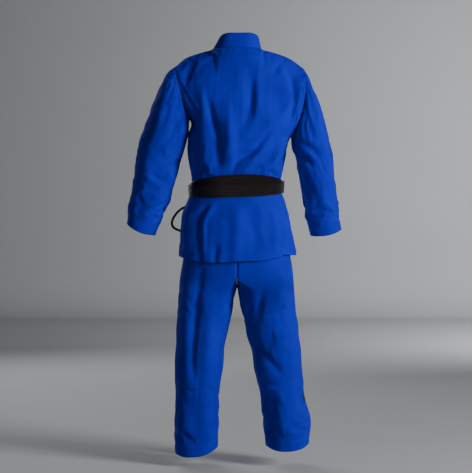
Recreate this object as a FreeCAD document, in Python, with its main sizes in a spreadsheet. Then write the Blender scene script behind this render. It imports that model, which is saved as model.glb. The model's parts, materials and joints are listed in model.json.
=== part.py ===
import FreeCAD, Part
import math
import os
import re

# A martial arts uniform: wrapped jacket, belt, and drawstring trousers, hanging as it is worn.
# Millimetres.  The origin is the point between the shoulders that a hanger or a neck fills:
# +Z is up, the front of the uniform faces -Y, and +X is the wearer's left.

SIZES = {
    # cloths and clearances
    "weave": 3.0,               # jacket cloth
    "drill": 1.6,               # trouser cloth
    "tape": 1.4,                # sewn-on tapes and patches
    "seam_gap": 0.3,            # between pieces sewn side by side
    "layer_gap": 0.5,           # between layers that lie on each other
    "body_gap": 1.5,            # between pieces that move against each other
    # jacket body, from the neck to under the belt: level, half width, half depth
    "neck_level": -10, "neck_wide": 84, "neck_deep": 62,
    "slope_level": -24, "slope_wide": 128, "slope_deep": 74,
    "roof_level": -44, "roof_wide": 164, "roof_deep": 84,
    "arm_level": -84, "arm_wide": 172, "arm_deep": 98,
    "blade_level": -218, "blade_wide": 172, "blade_deep": 116,
    "chest_level": -330, "chest_wide": 168, "chest_deep": 120,
    "waist_level": -425, "waist_wide": 154, "waist_deep": 114,
    "tuck_level": -511,
    # armholes, front wrap and neckband
    "armhole_inset": 22, "armhole_deep": 48, "armhole_top": -78, "armhole_low": -226,
    "wrap_level": -190, "wrap_slant": 21, "lapel_wide": 50, "lapel_thick": 5,
    "collar_top": 40, "collar_wide": 57, "collar_deep": 46, "collar_thick": 8,
    "collar_front": 15, "core_inset": 2.2,
    # shoulders: the hinge point, how far the cap reaches round it, and the cap's outline
    "shoulder_out": 180, "shoulder_level": -130, "cap_reach": 88,
    "cap_high_level": -20, "cap_high_wide": 125, "cap_high_deep": 72,
    "cap_edge_level": -64, "cap_edge_wide": 206, "cap_edge_deep": 90,
    "cap_mid_level": -125, "cap_mid_wide": 256, "cap_mid_deep": 100,
    "cap_low_level": -225, "cap_low_wide": 290, "cap_low_deep": 104,
    # sleeves, measured down the arm from the shoulder hinge
    "left_arm_tilt": 12.9, "right_arm_tilt": 10.0, "arm_offset": 27,
    "biceps_down": 20, "biceps_wide": 62, "biceps_deep": 88,
    "upper_down": 125, "upper_wide": 74, "upper_deep": 90,
    "elbow_down": 270, "elbow_wide": 73, "elbow_deep": 82,
    "fore_down": 410, "fore_wide": 64, "fore_deep": 70,
    "cuff_down": 495, "cuff_wide": 55, "cuff_deep": 58,
    "cuff_tape": 40, "fold_room": 6,
    # belt
    "belt_level": -470, "belt_wide": 40, "belt_thick": 4, "belt_slant": 7.5,
    "knot_wide": 64, "knot_tall": 52, "knot_thick": 24, "knot_round": 8,
    "tail_long": 223, "tail_apart": 8, "tail_slant": 5, "tail_clear": 11, "tail_drop": 15,
    # jacket skirts
    "skirt_level": -514, "skirt_ease": 4,
    "hip_level": -550, "hip_wide": 178, "hip_deep": 126,
    "flare_level": -600, "flare_wide": 189, "flare_deep": 133,
    "hem_level": -720, "hem_wide": 196, "hem_deep": 143,
    "front_hem_level": -702, "vent_half": 10, "wrap_over": 70, "hem_tape": 30,
    "vent_patch_wide": 34, "vent_patch_tall": 46,
    # trousers seat
    "band_level": -478, "band_ease": 16, "band_tall": 42, "band_thick": 11,
    "cord_run": 8, "loop_thick": 2.2, "loop_wide": 9, "loop_step": 58,
    "seat_high_level": -550, "seat_high_wide": 150, "seat_high_deep": 112,
    "seat_mid_level": -600, "seat_mid_wide": 160, "seat_mid_deep": 118,
    "seat_low_level": -725, "seat_low_wide": 184, "seat_low_deep": 130,
    "seat_end_level": -760, "seat_end_wide": 188, "seat_end_deep": 131,
    "patch_half": 18, "patch_top": -522, "patch_low": -645,
    "gusset_wide": 6, "gusset_deep": 150, "gusset_tall": 40,
    # legs: level, half width, half depth, and how far out each leg's centre stands
    "fork_level": -762, "fork_wide": 91, "fork_deep": 118, "fork_out": 96.5,
    "thigh_level": -880, "thigh_wide": 90, "thigh_deep": 105, "thigh_out": 105,
    "knee_level": -1030, "knee_wide": 81, "knee_deep": 92,
    "left_knee_out": 122, "right_knee_out": 135,
    "shin_level": -1180, "shin_wide": 75, "shin_deep": 85,
    "left_shin_out": 133, "right_shin_out": 153,
    "ankle_wide": 75, "ankle_deep": 80, "left_ankle_out": 138, "right_ankle_out": 167,
    "left_ankle_level": -1382, "right_ankle_level": -1366,
    "leg_tape": 35, "knee_panel_low": -1212,
    "label_top": -1166, "label_tall": 40, "label_wide": 36,
}

WORDS = re.compile(r"[a-z_]+")
REACH = 600                     # half size of the blocks that only split or trim a shell
CORD_RADIUS = 4.0
CORD_ROUTE = [                  # the loop of drawcord that hangs out of the left vent
    (172.0, 0.0, -536.0), (196.0, -3.0, -551.0), (213.0, -6.0, -572.0), (221.0, -7.0, -594.0),
    (213.0, -5.0, -610.0), (193.0, -1.0, -618.0),
]
CORD_EXIT_LEVEL = -536.0
CORD_RETURN_LEVEL = -628.0

doc = FreeCAD.newDocument("uniform")
nodes = []


def make_sheet():
    """Put every driving dimension in a cell of its own, with its name as alias."""
    sheet = doc.addObject("Spreadsheet::Sheet", "Sizes")
    for row, (name, value) in enumerate(SIZES.items(), start=1):
        sheet.set(f"A{row}", name)
        sheet.set(f"B{row}", str(value))
        sheet.setAlias(f"B{row}", name)
    doc.recompute()


def linked(text):
    """Write a size expression in terms of the sheet's cells."""
    return WORDS.sub(lambda word: f"Sizes.{word[0]}" if word[0] in SIZES else word[0], str(text))


def bind(item, **sizes):
    """Tie properties of an object to the sheet."""
    for name, text in sizes.items():
        item.setExpression(name, linked(text))


def move_to(item, x="0", y="0", z="0"):
    """Tie an object's place to the sheet."""
    for name, text in (("x", x), ("y", y), ("z", z)):
        item.setExpression(f"Placement.Base.{name}", linked(text))


def keep(item, label):
    """Make an object one of the uniform's pieces."""
    item.Label = label
    nodes.append(item)
    return item


def oval(name, station, inset, turned):
    """One closed outline of a station (level, half width, half depth, centre out)."""
    level, wide, deep, out = station
    major, minor = (deep, wide) if turned else (wide, deep)
    ring = doc.addObject("Part::Ellipse", name)
    bind(ring, MajorRadius=f"{major} - ({inset})", MinorRadius=f"{minor} - ({inset})")
    if turned:
        ring.Placement.Rotation = FreeCAD.Rotation(FreeCAD.Vector(0, 0, 1), 90)
    move_to(ring, x=out, z=level)
    return ring


def solid(name, stations, inset, turned=False):
    """A straight-sided loft through the stations, drawn in by the inset."""
    body = doc.addObject("Part::Loft", name)
    body.Sections = [oval(f"{name}_{i}", s, inset, turned) for i, s in enumerate(stations)]
    body.Solid = True
    body.Ruled = True
    return body


def shell(name, stations, outer, inner, turned=False):
    """A wall between two insets of one lofted outline, open at both ends."""
    outside = solid(f"{name}_outside", stations, outer, turned)
    inside = solid(f"{name}_inside", stations, inner, turned)
    return without(name, outside, inside)


def block(name, low, high, pivot=("0", "0", "0"), axis=None, angle="0"):
    """A box between two corners, turned about a line through the pivot, parallel to X or Y."""
    box = doc.addObject("Part::Box", name)
    spans = [f"({b}) - ({a})" for a, b in zip(low, high)]
    bind(box, Length=spans[0], Width=spans[1], Height=spans[2])
    x, y, z = (f"({value})" for value in low)
    px, py, pz = pivot
    if axis is None:
        move_to(box, f"{px} + {x}", f"{py} + {y}", f"{pz} + {z}")
        return box
    cosine, sine = f"cos(({angle}) * 1 deg)", f"sin(({angle}) * 1 deg)"
    if axis == "Y":
        move_to(box, f"{px} + {x} * {cosine} + {z} * {sine}", f"{py} + {y}",
                f"{pz} - {x} * {sine} + {z} * {cosine}")
        direction = FreeCAD.Vector(0, 1, 0)
    else:
        move_to(box, f"{px} + {x}", f"{py} + {y} * {cosine} - {z} * {sine}",
                f"{pz} + {y} * {sine} + {z} * {cosine}")
        direction = FreeCAD.Vector(1, 0, 0)
    box.Placement.Rotation = FreeCAD.Rotation(direction, 10)
    box.setExpression("Placement.Rotation.Angle", linked(f"({angle}) * 1 deg"))
    return box


def slab(name, top, low):
    """A level slice of space between two heights."""
    return block(name, (-REACH, -REACH, low), (REACH, REACH, top))


def both(name, first, second):
    """What two objects share."""
    shared = doc.addObject("Part::Common", name)
    shared.Base, shared.Tool = first, second
    return shared


def without(name, base, tool):
    """The base with the tool cut away."""
    cut = doc.addObject("Part::Cut", name)
    cut.Base, cut.Tool = base, tool
    return cut


def joined(name, items):
    """Several objects as one."""
    group = doc.addObject("Part::MultiFuse", name)
    group.Shapes = items
    return group


def sides():
    """Each side's name and the sign of its X: the wearer's left is +X."""
    return (("left", 1), ("right", -1))


def outward(sign, near, far):
    """Lower and upper bounds of a range that runs outward on one side."""
    if sign > 0:
        return f"({near})", f"({far})"
    return f"-({far})", f"-({near})"


def station(prefix, out="0", level=None):
    """A station by the prefix of its names in the sheet."""
    return (level or f"{prefix}_level", f"{prefix}_wide", f"{prefix}_deep", out)


TORSO = [station(p) for p in ("neck", "slope", "roof", "arm", "blade", "chest", "waist")]
TORSO.append(("tuck_level", "waist_wide", "waist_deep", "0"))
SHOULDER = [station(p) for p in ("cap_high", "cap_edge", "cap_mid", "cap_low")]
SKIRT = [("skirt_level", "waist_wide + skirt_ease", "waist_deep + skirt_ease", "0")]
SKIRT += [station(p) for p in ("hip", "flare", "hem")]
SEAT = [("band_level", "waist_wide - band_ease", "waist_deep - band_ease", "0")]
SEAT += [station(p) for p in ("seat_high", "seat_mid", "seat_low", "seat_end")]
UNDER = "weave + layer_gap"     # inset of a layer that lies inside the outer one


def jacket_body():
    """Back panel, the two wrapped front panels and the lapels on their edges."""
    outer = shell("torso_outer", TORSO, "0", "weave")
    under = shell("torso_under", TORSO, UNDER, f"{UNDER} + weave")
    band = shell("lapel_wall", TORSO, "-lapel_thick", "-layer_gap")
    low_band = shell("low_lapel_wall", TORSO, "-lapel_thick", f"{UNDER} - layer_gap")
    inset, deep = "arm_wide - armhole_inset", "armhole_deep"
    holes = joined("armholes", [
        block(f"{side}_armhole", (outward(s, inset, REACH)[0], f"-{deep}", "armhole_low"),
              (outward(s, inset, REACH)[1], deep, "armhole_top"))
        for side, s in sides()])
    half = "seam_gap / 2"
    rear = block("rear_half", (-REACH, half, -REACH), (REACH, REACH, REACH))
    keep(without("back_cut", both("back_half", outer, rear), holes), "back_panel")
    for side, sign in sides():
        wall = outer if sign > 0 else under
        front = both(f"{side}_front_half", wall, front_of_edge(f"{side}_front_side", sign, "0", REACH))
        keep(without(f"{side}_front_cut", front, holes), f"{side}_front_panel")
    above = slab("above_belt", "neck_level", f"belt_level + belt_wide + {half}")
    strip = both("left_strip", band, front_of_edge("left_lapel_side", 1, "0", "lapel_wide"))
    keep(both("left_strip_high", strip, above), "left_lapel")
    strip = both("right_strip", low_band, front_of_edge("right_lapel_side", -1, "0", "lapel_wide"))
    clear = front_of_edge("clear_of_left_wrap", 1, -REACH, "-layer_gap")
    keep(both("right_strip_clear", strip, clear), "right_lapel")


def front_of_edge(name, sign, near, far):
    """The front half of space, from one distance to another beside a lapel's slanting edge."""
    low, high = outward(sign, near, far)
    return block(name, (low, -REACH, -REACH), (high, "-seam_gap / 2", REACH),
                 pivot=("0", "0", "wrap_level"), axis="Y", angle=f"{sign} * wrap_slant")


def neckband():
    """The stiff band round the neck: a cover folded over a core."""
    cone = [("neck_level + seam_gap", "neck_wide", "neck_deep", "0"),
            ("collar_top", "collar_wide", "collar_deep", "0")]
    rear = block("collar_rear", (-REACH, "-collar_front", -REACH), (REACH, REACH, REACH))
    rear_core = block("core_rear", (-REACH, "core_inset - collar_front", -REACH),
                      (REACH, REACH, "collar_top - core_inset"))
    band = both("collar_band", shell("collar_wall", cone, "0", "collar_thick"), rear)
    wall = shell("core_wall", cone, "core_inset", "collar_thick - core_inset")
    core = both("core_band", wall, rear_core)
    keep(without("cover_cut", band, core), "collar_cover")
    room = shell("core_fit", cone, "core_inset + seam_gap", "collar_thick - core_inset - seam_gap")
    keep(both("core_fitted", room, rear_core), "collar_core")


def shoulder_caps():
    """The jacket's shoulders: what lies within the cap's reach of the shoulder hinge."""
    wall = shell("cap_wall", SHOULDER, "0", "weave")
    outside = block("cap_side", (-REACH, -REACH, -REACH), ("-(arm_wide + seam_gap)", REACH, REACH))
    disc = hinge_disc("cap_disc", "cap_reach", "-shoulder_out", "shoulder_level")
    right = keep(both("right_cap", both("cap_outer", wall, outside), disc), "right_shoulder_cap")
    left = doc.addObject("Part::Mirroring", "left_cap")
    left.Source = right
    left.Normal = FreeCAD.Vector(1, 0, 0)
    keep(left, "left_shoulder_cap")


def hinge_disc(name, radius, x, z):
    """A wide disc round a hinge that runs front to back."""
    disc = doc.addObject("Part::Cylinder", name)
    bind(disc, Radius=radius, Height=2 * REACH)
    disc.Placement.Rotation = FreeCAD.Rotation(FreeCAD.Vector(1, 0, 0), -90)
    move_to(disc, x, str(-REACH), z)
    return disc


def sleeve(side, sign):
    """One sleeve, drawn straight down from the shoulder hinge and then tilted outward."""
    offset = f"{sign} * arm_offset"
    line = [(f"-{p}_down", f"{p}_wide", f"{p}_deep", offset)
            for p in ("biceps", "upper", "elbow", "fore", "cuff")]
    wall = shell(f"{side}_arm", line, "0", "weave", turned=True)
    tilt = f"{side}_arm_tilt"
    low, high = outward(sign, "0", REACH)
    beside = block(f"{side}_arm_side", (low, -REACH, -REACH), (high, REACH, REACH),
                   pivot=(f"{sign} * (arm_wide + body_gap - shoulder_out) * cos({tilt} * 1 deg)", "0",
                          f"-(arm_wide + body_gap - shoulder_out) * sin({tilt} * 1 deg)"),
                   axis="Y", angle=f"{sign} * {tilt}")
    fold = "elbow_deep + fold_room"
    top, bend, gap = f"-elbow_down + {fold}", f"-elbow_down - {fold}", "body_gap"
    ball = hinge_disc(f"{side}_arm_disc", "cap_reach + body_gap", "0", "0")
    upper = both(f"{side}_upper_side", without(f"{side}_arm_cut", wall, ball), beside)
    upper = both(f"{side}_upper", upper, slab(f"{side}_upper_slab", "0", top))
    clear = both(f"{side}_elbow_side", wall, beside)
    middle = both(f"{side}_elbow", clear, slab(f"{side}_elbow_slab", f"{top} - {gap}", f"{bend} + {gap}"))
    lower = both(f"{side}_lower", wall, slab(f"{side}_lower_slab", bend, -REACH))
    tape = shell(f"{side}_cuff_wall", line, UNDER, f"{UNDER} + tape", turned=True)
    tape = both(f"{side}_cuff", tape, slab(f"{side}_cuff_slab", "cuff_tape - cuff_down", "-cuff_down"))
    pieces = (("upper_sleeve", upper), ("elbow_cloth", middle), ("lower_sleeve", lower),
              ("cuff_tape", tape))
    for name, piece in pieces:
        piece.Placement.Rotation = FreeCAD.Rotation(FreeCAD.Vector(0, 1, 0), 10)
        piece.setExpression("Placement.Rotation.Angle", linked(f"{-sign} * {tilt} * 1 deg"))
        move_to(piece, f"{sign} * shoulder_out", "0", "shoulder_level")
        keep(piece, f"{side}_{name}")


def belt():
    """Two turns that cross at the back, the knot in front and its two tails."""
    turns = (("belt_inner_turn", "layer_gap", -1), ("belt_outer_turn", "2 * layer_gap + belt_thick", 1))
    ring = [("belt_level + 3 * belt_wide", "waist_wide", "waist_deep", "0"),
            ("belt_level - 3 * belt_wide", "waist_wide", "waist_deep", "0")]
    for name, gap, lean in turns:
        wall = shell(f"{name}_wall", ring, f"-({gap} + belt_thick)", f"-({gap})")
        slice_ = block(f"{name}_slice", (-REACH, -REACH, "-belt_wide / 2"),
                       (REACH, REACH, "belt_wide / 2"), pivot=("0", "0", "belt_level"),
                       axis="X", angle=f"{-lean} * belt_slant")
        keep(both(f"{name}_band", wall, slice_), name)
    face = "-(waist_deep + 3 * layer_gap + 2 * belt_thick)"
    knot = block("knot_block", ("-knot_wide / 2", f"{face} - knot_thick", "-knot_tall / 2"),
                 ("knot_wide / 2", face, "knot_tall / 2"), pivot=("0", "0", "belt_level"))
    round_edges(knot)
    for side, sign in sides():
        low, high = outward(sign, "tail_apart / 2", "tail_apart / 2 + belt_wide")
        tail = block(f"{side}_tail", (low, "-belt_thick", "-tail_long"), (high, "0", "0"),
                     pivot=("0", f"{face} - tail_clear", "belt_level - knot_tall / 2 - tail_drop"),
                     axis="X", angle="-tail_slant")
        keep(tail, f"belt_{side}_tail")


def round_edges(knot):
    """Round the knot's four front edges and give it its name."""
    doc.recompute()
    rounded = doc.addObject("Part::Fillet", "knot_rounded")
    rounded.Base = knot
    front = knot.Shape.BoundBox.YMin
    edges = [i for i, edge in enumerate(knot.Shape.Edges, start=1)
             if edge.BoundBox.YMax < front + SIZES["knot_round"]]
    radius = SIZES["knot_round"]
    rounded.Edges = [(i, radius, radius) for i in edges]
    keep(rounded, "belt_knot")


def skirt_panel(name, inset, low, high, hem):
    """One hanging panel of the skirt, with the tape inside its hem."""
    room = block(f"{name}_room", low, high)
    wall = shell(f"{name}_wall", SKIRT, inset, f"{inset} + weave")
    keep(both(f"{name}_cut", wall, room), f"{name}_panel")
    lining = f"{inset} + weave + layer_gap / 2"
    strip = shell(f"{name}_tape_wall", SKIRT, lining, f"{lining} + tape")
    strip = both(f"{name}_tape_cut", strip, room)
    keep(both(f"{name}_tape_slice", strip, slab(f"{name}_tape_slab", f"{hem} + hem_tape", hem)),
         f"{name}_hem_tape")


def skirts():
    """The back skirt and the two overlapping front skirts, parted by the side vents."""
    skirt_panel("back_skirt", "0", (-REACH, "vent_half", "hem_level"), (REACH, REACH, "skirt_level"),
                "hem_level")
    hem = "front_hem_level"
    skirt_panel("left_front_skirt", "0", ("-wrap_over", -REACH, hem),
                (REACH, "-vent_half", "skirt_level"), hem)
    skirt_panel("right_front_skirt", f"{UNDER} + tape + layer_gap", (-REACH, -REACH, hem),
                ("wrap_over", "-vent_half", "skirt_level"), hem)
    wall = shell("vent_patch_wall", SKIRT, "-tape", "-layer_gap / 2")
    for side, sign in sides():
        low, high = outward(sign, "0", REACH)
        spot = block(f"{side}_vent_spot", (low, "vent_half", "skirt_level - vent_patch_tall"),
                     (high, "vent_half + vent_patch_wide", "skirt_level"))
        keep(both(f"{side}_vent_cut", wall, spot), f"{side}_vent_patch")


def trouser_seat():
    """Seat halves, drawstring waistband with its cord, side patches and gusset."""
    wall = shell("seat_wall", SEAT, "0", "drill")
    low = "band_level - band_tall"
    for side, sign in sides():
        near, far = outward(sign, "seam_gap / 2", REACH)
        half = block(f"{side}_seat_side", (near, -REACH, "seat_end_level"),
                     (far, REACH, f"{low} - seam_gap"))
        keep(both(f"{side}_seat_cut", wall, half), f"{side}_seat")
    ring = both("band_ring", shell("band_wall", SEAT, "0", "band_thick"),
                slab("band_slab", "band_level", low))
    edge = "(band_thick - cord_run) / 2"
    run = shell("channel", SEAT, edge, f"band_thick - {edge}")
    top = f"(band_level - {edge} - drill)"
    slot = both("channel_slot", run, slab("channel_slab", top, low))
    keep(without("band_folded", ring, slot), "waistband")
    cord = shell("cord_wall", SEAT, f"{edge} + seam_gap", f"band_thick - {edge} - seam_gap")
    keep(both("cord_ring", cord, slab("cord_slab", f"{top} - cord_run", f"{top} - 2 * cord_run")),
         "drawcord_run")
    loops = shell("loop_wall", SEAT, "-loop_thick", "-layer_gap / 2")
    spots = joined("loop_spots", [
        block(f"loop_spot_{i}", (f"{i} * loop_step / 2 - loop_wide / 2", -REACH, f"{low} + 1.5 * cord_run"),
              (f"{i} * loop_step / 2 + loop_wide / 2", 0, f"band_level - {edge}"))
        for i in (-3, -1, 1, 3)])
    keep(both("loop_cut", loops, spots), "cord_loops")
    patch_wall = shell("patch_wall", SEAT, "-tape", "-layer_gap / 2")
    for side, sign in sides():
        near, far = outward(sign, "0", REACH)
        spot = block(f"{side}_patch_spot", (near, "-patch_half", "patch_low"),
                     (far, "patch_half", "patch_top"))
        keep(both(f"{side}_patch_cut", patch_wall, spot), f"{side}_cord_patch")
    gusset = block("gusset", ("-gusset_wide / 2", "-gusset_deep / 2", "fork_level - gusset_tall"),
                   ("gusset_wide / 2", "gusset_deep / 2", "fork_level"))
    keep(gusset, "crotch_gusset")


def leg(side, sign):
    """One trouser leg: hip fold, thigh, knee fold and shin, with its tape and knee panel."""
    ankle = f"{side}_ankle_level"
    line = [station("fork", f"{sign} * fork_out"), station("thigh", f"{sign} * thigh_out"),
            station("knee", f"{sign} * {side}_knee_out"), station("shin", f"{sign} * {side}_shin_out"),
            station("ankle", f"{sign} * {side}_ankle_out", ankle)]
    wall = shell(f"{side}_leg", line, "0", "drill", turned=True)
    gap, fold = "body_gap", "(knee_deep + fold_room)"
    knee_top, knee_low = f"knee_level + {fold}", f"knee_level - {fold}"
    spans = (("hip_cloth", "fork_level", "thigh_level"),
             ("thigh", f"thigh_level - {gap}", knee_top),
             ("knee_cloth", f"{knee_top} - {gap}", f"{knee_low} + {gap}"),
             ("shin", knee_low, ankle))
    for name, top, low in spans:
        keep(both(f"{side}_{name}_cut", wall, slab(f"{side}_{name}_slab", top, low)), f"{side}_{name}")
    lining = "drill + layer_gap / 2"
    tape = shell(f"{side}_leg_tape_wall", line, lining, f"{lining} + tape", turned=True)
    keep(both(f"{side}_leg_tape_cut", tape, slab(f"{side}_leg_tape_slab", f"{ankle} + leg_tape", ankle)),
         f"{side}_leg_tape")
    panel = shell(f"{side}_panel_wall", line, "-tape", "-layer_gap / 2", turned=True)
    front = block(f"{side}_panel_front", (-REACH, -REACH, "knee_panel_low"), (REACH, 0, knee_low))
    keep(both(f"{side}_panel_cut", panel, front), f"{side}_knee_panel")
    if side == "right":
        spot = block("label_spot", (-REACH, "seam_gap", "label_top - label_tall"),
                     ("-right_shin_out", "label_wide", "label_top"))
        keep(both("label_cut", panel, spot), "leg_label")


def cord_path():
    """The loop's centre line: straight runs joined by tangent arcs, and its length."""
    skin = SIZES["tape"] + SIZES["body_gap"]
    first = FreeCAD.Vector(seat_half_width(CORD_EXIT_LEVEL) + skin, 0, CORD_EXIT_LEVEL)
    last = FreeCAD.Vector(seat_half_width(CORD_RETURN_LEVEL) + skin, 0, CORD_RETURN_LEVEL)
    points = [first] + [FreeCAD.Vector(*p) for p in CORD_ROUTE] + [last]
    edges, start = [], points[0]
    for before, corner, after in zip(points, points[1:], points[2:]):
        into, away = (corner - before), (after - corner)
        turn = into.getAngle(away)
        trim = 0.45 * min(into.Length, away.Length)
        radius = trim / math.tan(turn / 2)
        into.normalize()
        away.normalize()
        enter, leave = corner - into * trim, corner + away * trim
        middle = arc_middle(corner, into, away, radius, turn)
        edges.append(Part.LineSegment(start, enter).toShape())
        edges.append(Part.Arc(enter, middle, leave).toShape())
        print(f"drawcord bend: radius {radius:.1f} mm")
        start = leave
    edges.append(Part.LineSegment(start, points[-1]).toShape())
    return Part.Wire(edges)


def arc_middle(corner, into, away, radius, turn):
    """The point of a tangent arc that is nearest to its corner."""
    inward = away - into
    inward.normalize()
    return corner + inward * (radius / math.cos(turn / 2) - radius)


def seat_half_width(level):
    """The seat's half width at a level, along the straight sides between its stations."""
    spots = [(SIZES["band_level"], SIZES["waist_wide"] - SIZES["band_ease"])]
    spots += [(SIZES[f"{p}_level"], SIZES[f"{p}_wide"]) for p in
              ("seat_high", "seat_mid", "seat_low", "seat_end")]
    for (top, wide), (low, wider) in zip(spots, spots[1:]):
        if low <= level <= top:
            return wide + (wider - wide) * (top - level) / (top - low)
    raise ValueError(f"no seat at level {level}")


def drawcord_loop():
    """The round cord that hangs out of the left side vent."""
    path = cord_path()
    start = path.Vertexes[0].Point
    profile = Part.Wire(Part.makeCircle(CORD_RADIUS, start, FreeCAD.Vector(1, 0, 0)))
    tube = path.makePipeShell([profile], True, False)
    expected = math.pi * CORD_RADIUS ** 2 * path.Length
    print(f"drawcord length {path.Length:.1f} mm, volume ratio {tube.Volume / expected:.4f}")
    cord = doc.addObject("Part::Feature", "drawcord_loop")
    cord.Shape = tube
    cord.Placement = FreeCAD.Placement()
    keep(cord, "drawcord_loop")


def check_document():
    """Stop if any object failed, or any piece has no valid solid."""
    for item in doc.Objects:
        if "Invalid" in item.State or "Error" in item.State:
            raise RuntimeError(f"{item.Name} failed: {item.State}")
    for item in nodes:
        shape = item.Shape
        if shape.isNull() or not shape.isValid() or not shape.Solids:
            raise RuntimeError(f"{item.Label} has no valid solid")


def write_parts():
    """Write one STEP file for each piece."""
    os.makedirs("parts", exist_ok=True)
    for item in nodes:
        item.Shape.exportStep(f"parts/{item.Label}.step")
        print(f"{item.Label}: {len(item.Shape.Solids)} solid(s), {item.Shape.Volume / 1000:.1f} cm3")


make_sheet()
jacket_body()
neckband()
shoulder_caps()
for side_name, side_sign in sides():
    sleeve(side_name, side_sign)
belt()
skirts()
trouser_seat()
for side_name, side_sign in sides():
    leg(side_name, side_sign)
drawcord_loop()
doc.recompute()
check_document()
write_parts()
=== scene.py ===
import json
import logging
import math
from dataclasses import dataclass
from enum import Enum

import bmesh
import bpy
import numpy as np
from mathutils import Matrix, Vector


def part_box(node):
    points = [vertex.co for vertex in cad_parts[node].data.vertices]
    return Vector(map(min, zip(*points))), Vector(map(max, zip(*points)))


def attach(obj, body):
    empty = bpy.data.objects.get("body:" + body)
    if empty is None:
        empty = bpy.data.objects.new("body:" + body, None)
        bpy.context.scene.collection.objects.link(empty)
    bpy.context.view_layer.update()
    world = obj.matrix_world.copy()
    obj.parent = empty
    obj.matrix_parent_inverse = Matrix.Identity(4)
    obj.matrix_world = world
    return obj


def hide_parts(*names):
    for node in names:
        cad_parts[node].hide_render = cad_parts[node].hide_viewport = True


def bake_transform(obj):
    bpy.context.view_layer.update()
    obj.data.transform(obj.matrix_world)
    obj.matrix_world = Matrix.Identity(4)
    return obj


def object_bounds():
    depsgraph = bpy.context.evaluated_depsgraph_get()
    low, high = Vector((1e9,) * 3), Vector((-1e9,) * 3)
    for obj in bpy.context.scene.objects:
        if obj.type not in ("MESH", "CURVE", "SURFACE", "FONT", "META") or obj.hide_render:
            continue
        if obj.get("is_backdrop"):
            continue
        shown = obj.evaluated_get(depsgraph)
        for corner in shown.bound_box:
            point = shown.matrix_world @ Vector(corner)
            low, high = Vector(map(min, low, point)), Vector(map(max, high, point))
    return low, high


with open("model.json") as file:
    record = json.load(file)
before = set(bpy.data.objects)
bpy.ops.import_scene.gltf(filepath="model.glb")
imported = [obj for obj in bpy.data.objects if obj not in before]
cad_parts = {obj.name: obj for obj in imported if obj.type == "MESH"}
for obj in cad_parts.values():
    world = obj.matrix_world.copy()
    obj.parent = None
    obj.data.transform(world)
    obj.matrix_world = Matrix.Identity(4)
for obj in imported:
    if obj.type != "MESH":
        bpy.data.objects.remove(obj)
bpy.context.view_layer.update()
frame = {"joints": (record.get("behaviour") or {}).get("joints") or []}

# A martial arts uniform in its worn shape: wrapped jacket, two-turn belt, drawstring trousers.
# Metres, in the part's frame: +Z up, the front faces -Y, +X is the wearer's left.

LOG = logging.getLogger("uniform")

Array = np.ndarray
Piece, Material = bpy.types.Object, bpy.types.Material
Tree, Socket = bpy.types.NodeTree, bpy.types.NodeSocket
Point = tuple[float, float, float]
Pairs = tuple[tuple[float, float], ...]     # a table of (level, size), or a line of (x, z)

ROUNDNESS = 2.3           # outlines are (x/a)^n + (y/b)^n = 1: a little squarer than an oval
ROUND = 2 / ROUNDNESS     # the exponent that does the same for a sine and a cosine
FACING_GAP = 0.0004       # between a cloth's inner face and the tape sewn to it
TAPE = 0.0012             # thickness of a hem's tape
PATCH = 0.0014            # thickness of a patch
CLOSED = 2 * math.pi      # a full turn


# ---------------------------------------------------------------- numbers and surfaces

def smoothstep(value: Array | float) -> Array:
    """0 below 0, 1 above 1, and 3t squared minus 2t cubed between."""
    t = np.clip(value, 0.0, 1.0)
    return t * t * (3.0 - 2.0 * t)


def curve_through(at: Array, knots: Array, values: Array) -> Array:
    """Read a smooth curve through given values.

    Between two knots it is the cubic whose slopes at the knots are the values' central differences.

    Args:
        at: where to read it, any shape.
        knots: rising positions of the values.
        values: one number or one row of numbers for each knot.

    Returns:
        The values at those places, with the shape of at followed by that of one value.
    """
    knots, values = np.asarray(knots, float), np.asarray(values, float)
    slopes = np.gradient(values, knots, axis=0)
    at = np.clip(np.asarray(at, float), knots[0], knots[-1])
    i = np.clip(np.searchsorted(knots, at, side="right") - 1, 0, len(knots) - 2)
    step = knots[i + 1] - knots[i]
    t = (at - knots[i]) / step
    extra = (1,) * (values.ndim - 1)
    t, step = t.reshape(t.shape + extra), step.reshape(step.shape + extra)
    near, far = values[i], values[i + 1]
    return ((1 + 2 * t) * (1 - t) ** 2 * near + t * (1 - t) ** 2 * step * slopes[i]
            + t * t * (3 - 2 * t) * far + t * t * (t - 1) * step * slopes[i + 1])


def profile(level: Array, table: tuple[tuple[float, ...], ...], column: int = 1) -> Array:
    """A size at a height, from a table whose first column is the height, falling."""
    rows = np.asarray(table, float)[::-1]
    return curve_through(level, rows[:, 0], rows[:, column])


def power(value: Array, exponent: float) -> Array:
    """A signed power: the sign of the value times its size to the exponent."""
    return np.sign(value) * np.abs(value) ** exponent


def spaced(points: Array, count: int) -> Array:
    """Positions along a polyline, from 0 to its number of points less 1, an equal length apart."""
    lengths = np.linalg.norm(np.diff(points, axis=0), axis=1)
    run = np.concatenate([[0.0], np.cumsum(lengths)])
    return np.interp(np.linspace(0, run[-1], count), run, np.arange(len(points)))


def normals_of(points: Array, closed: bool) -> Array:
    """Unit normals of a grid: the cross product of its two central differences."""
    if closed:
        wrapped = np.concatenate([points[:, -2:-1], points, points[:, 1:2]], axis=1)
        along = (wrapped[:, 2:] - wrapped[:, :-2]) / 2
    else:
        along = np.gradient(points, axis=1)
    down = np.gradient(points, axis=0)
    cross = np.cross(along, down)
    size = np.linalg.norm(cross, axis=2, keepdims=True)
    return cross / np.maximum(size, 1e-12)


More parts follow.
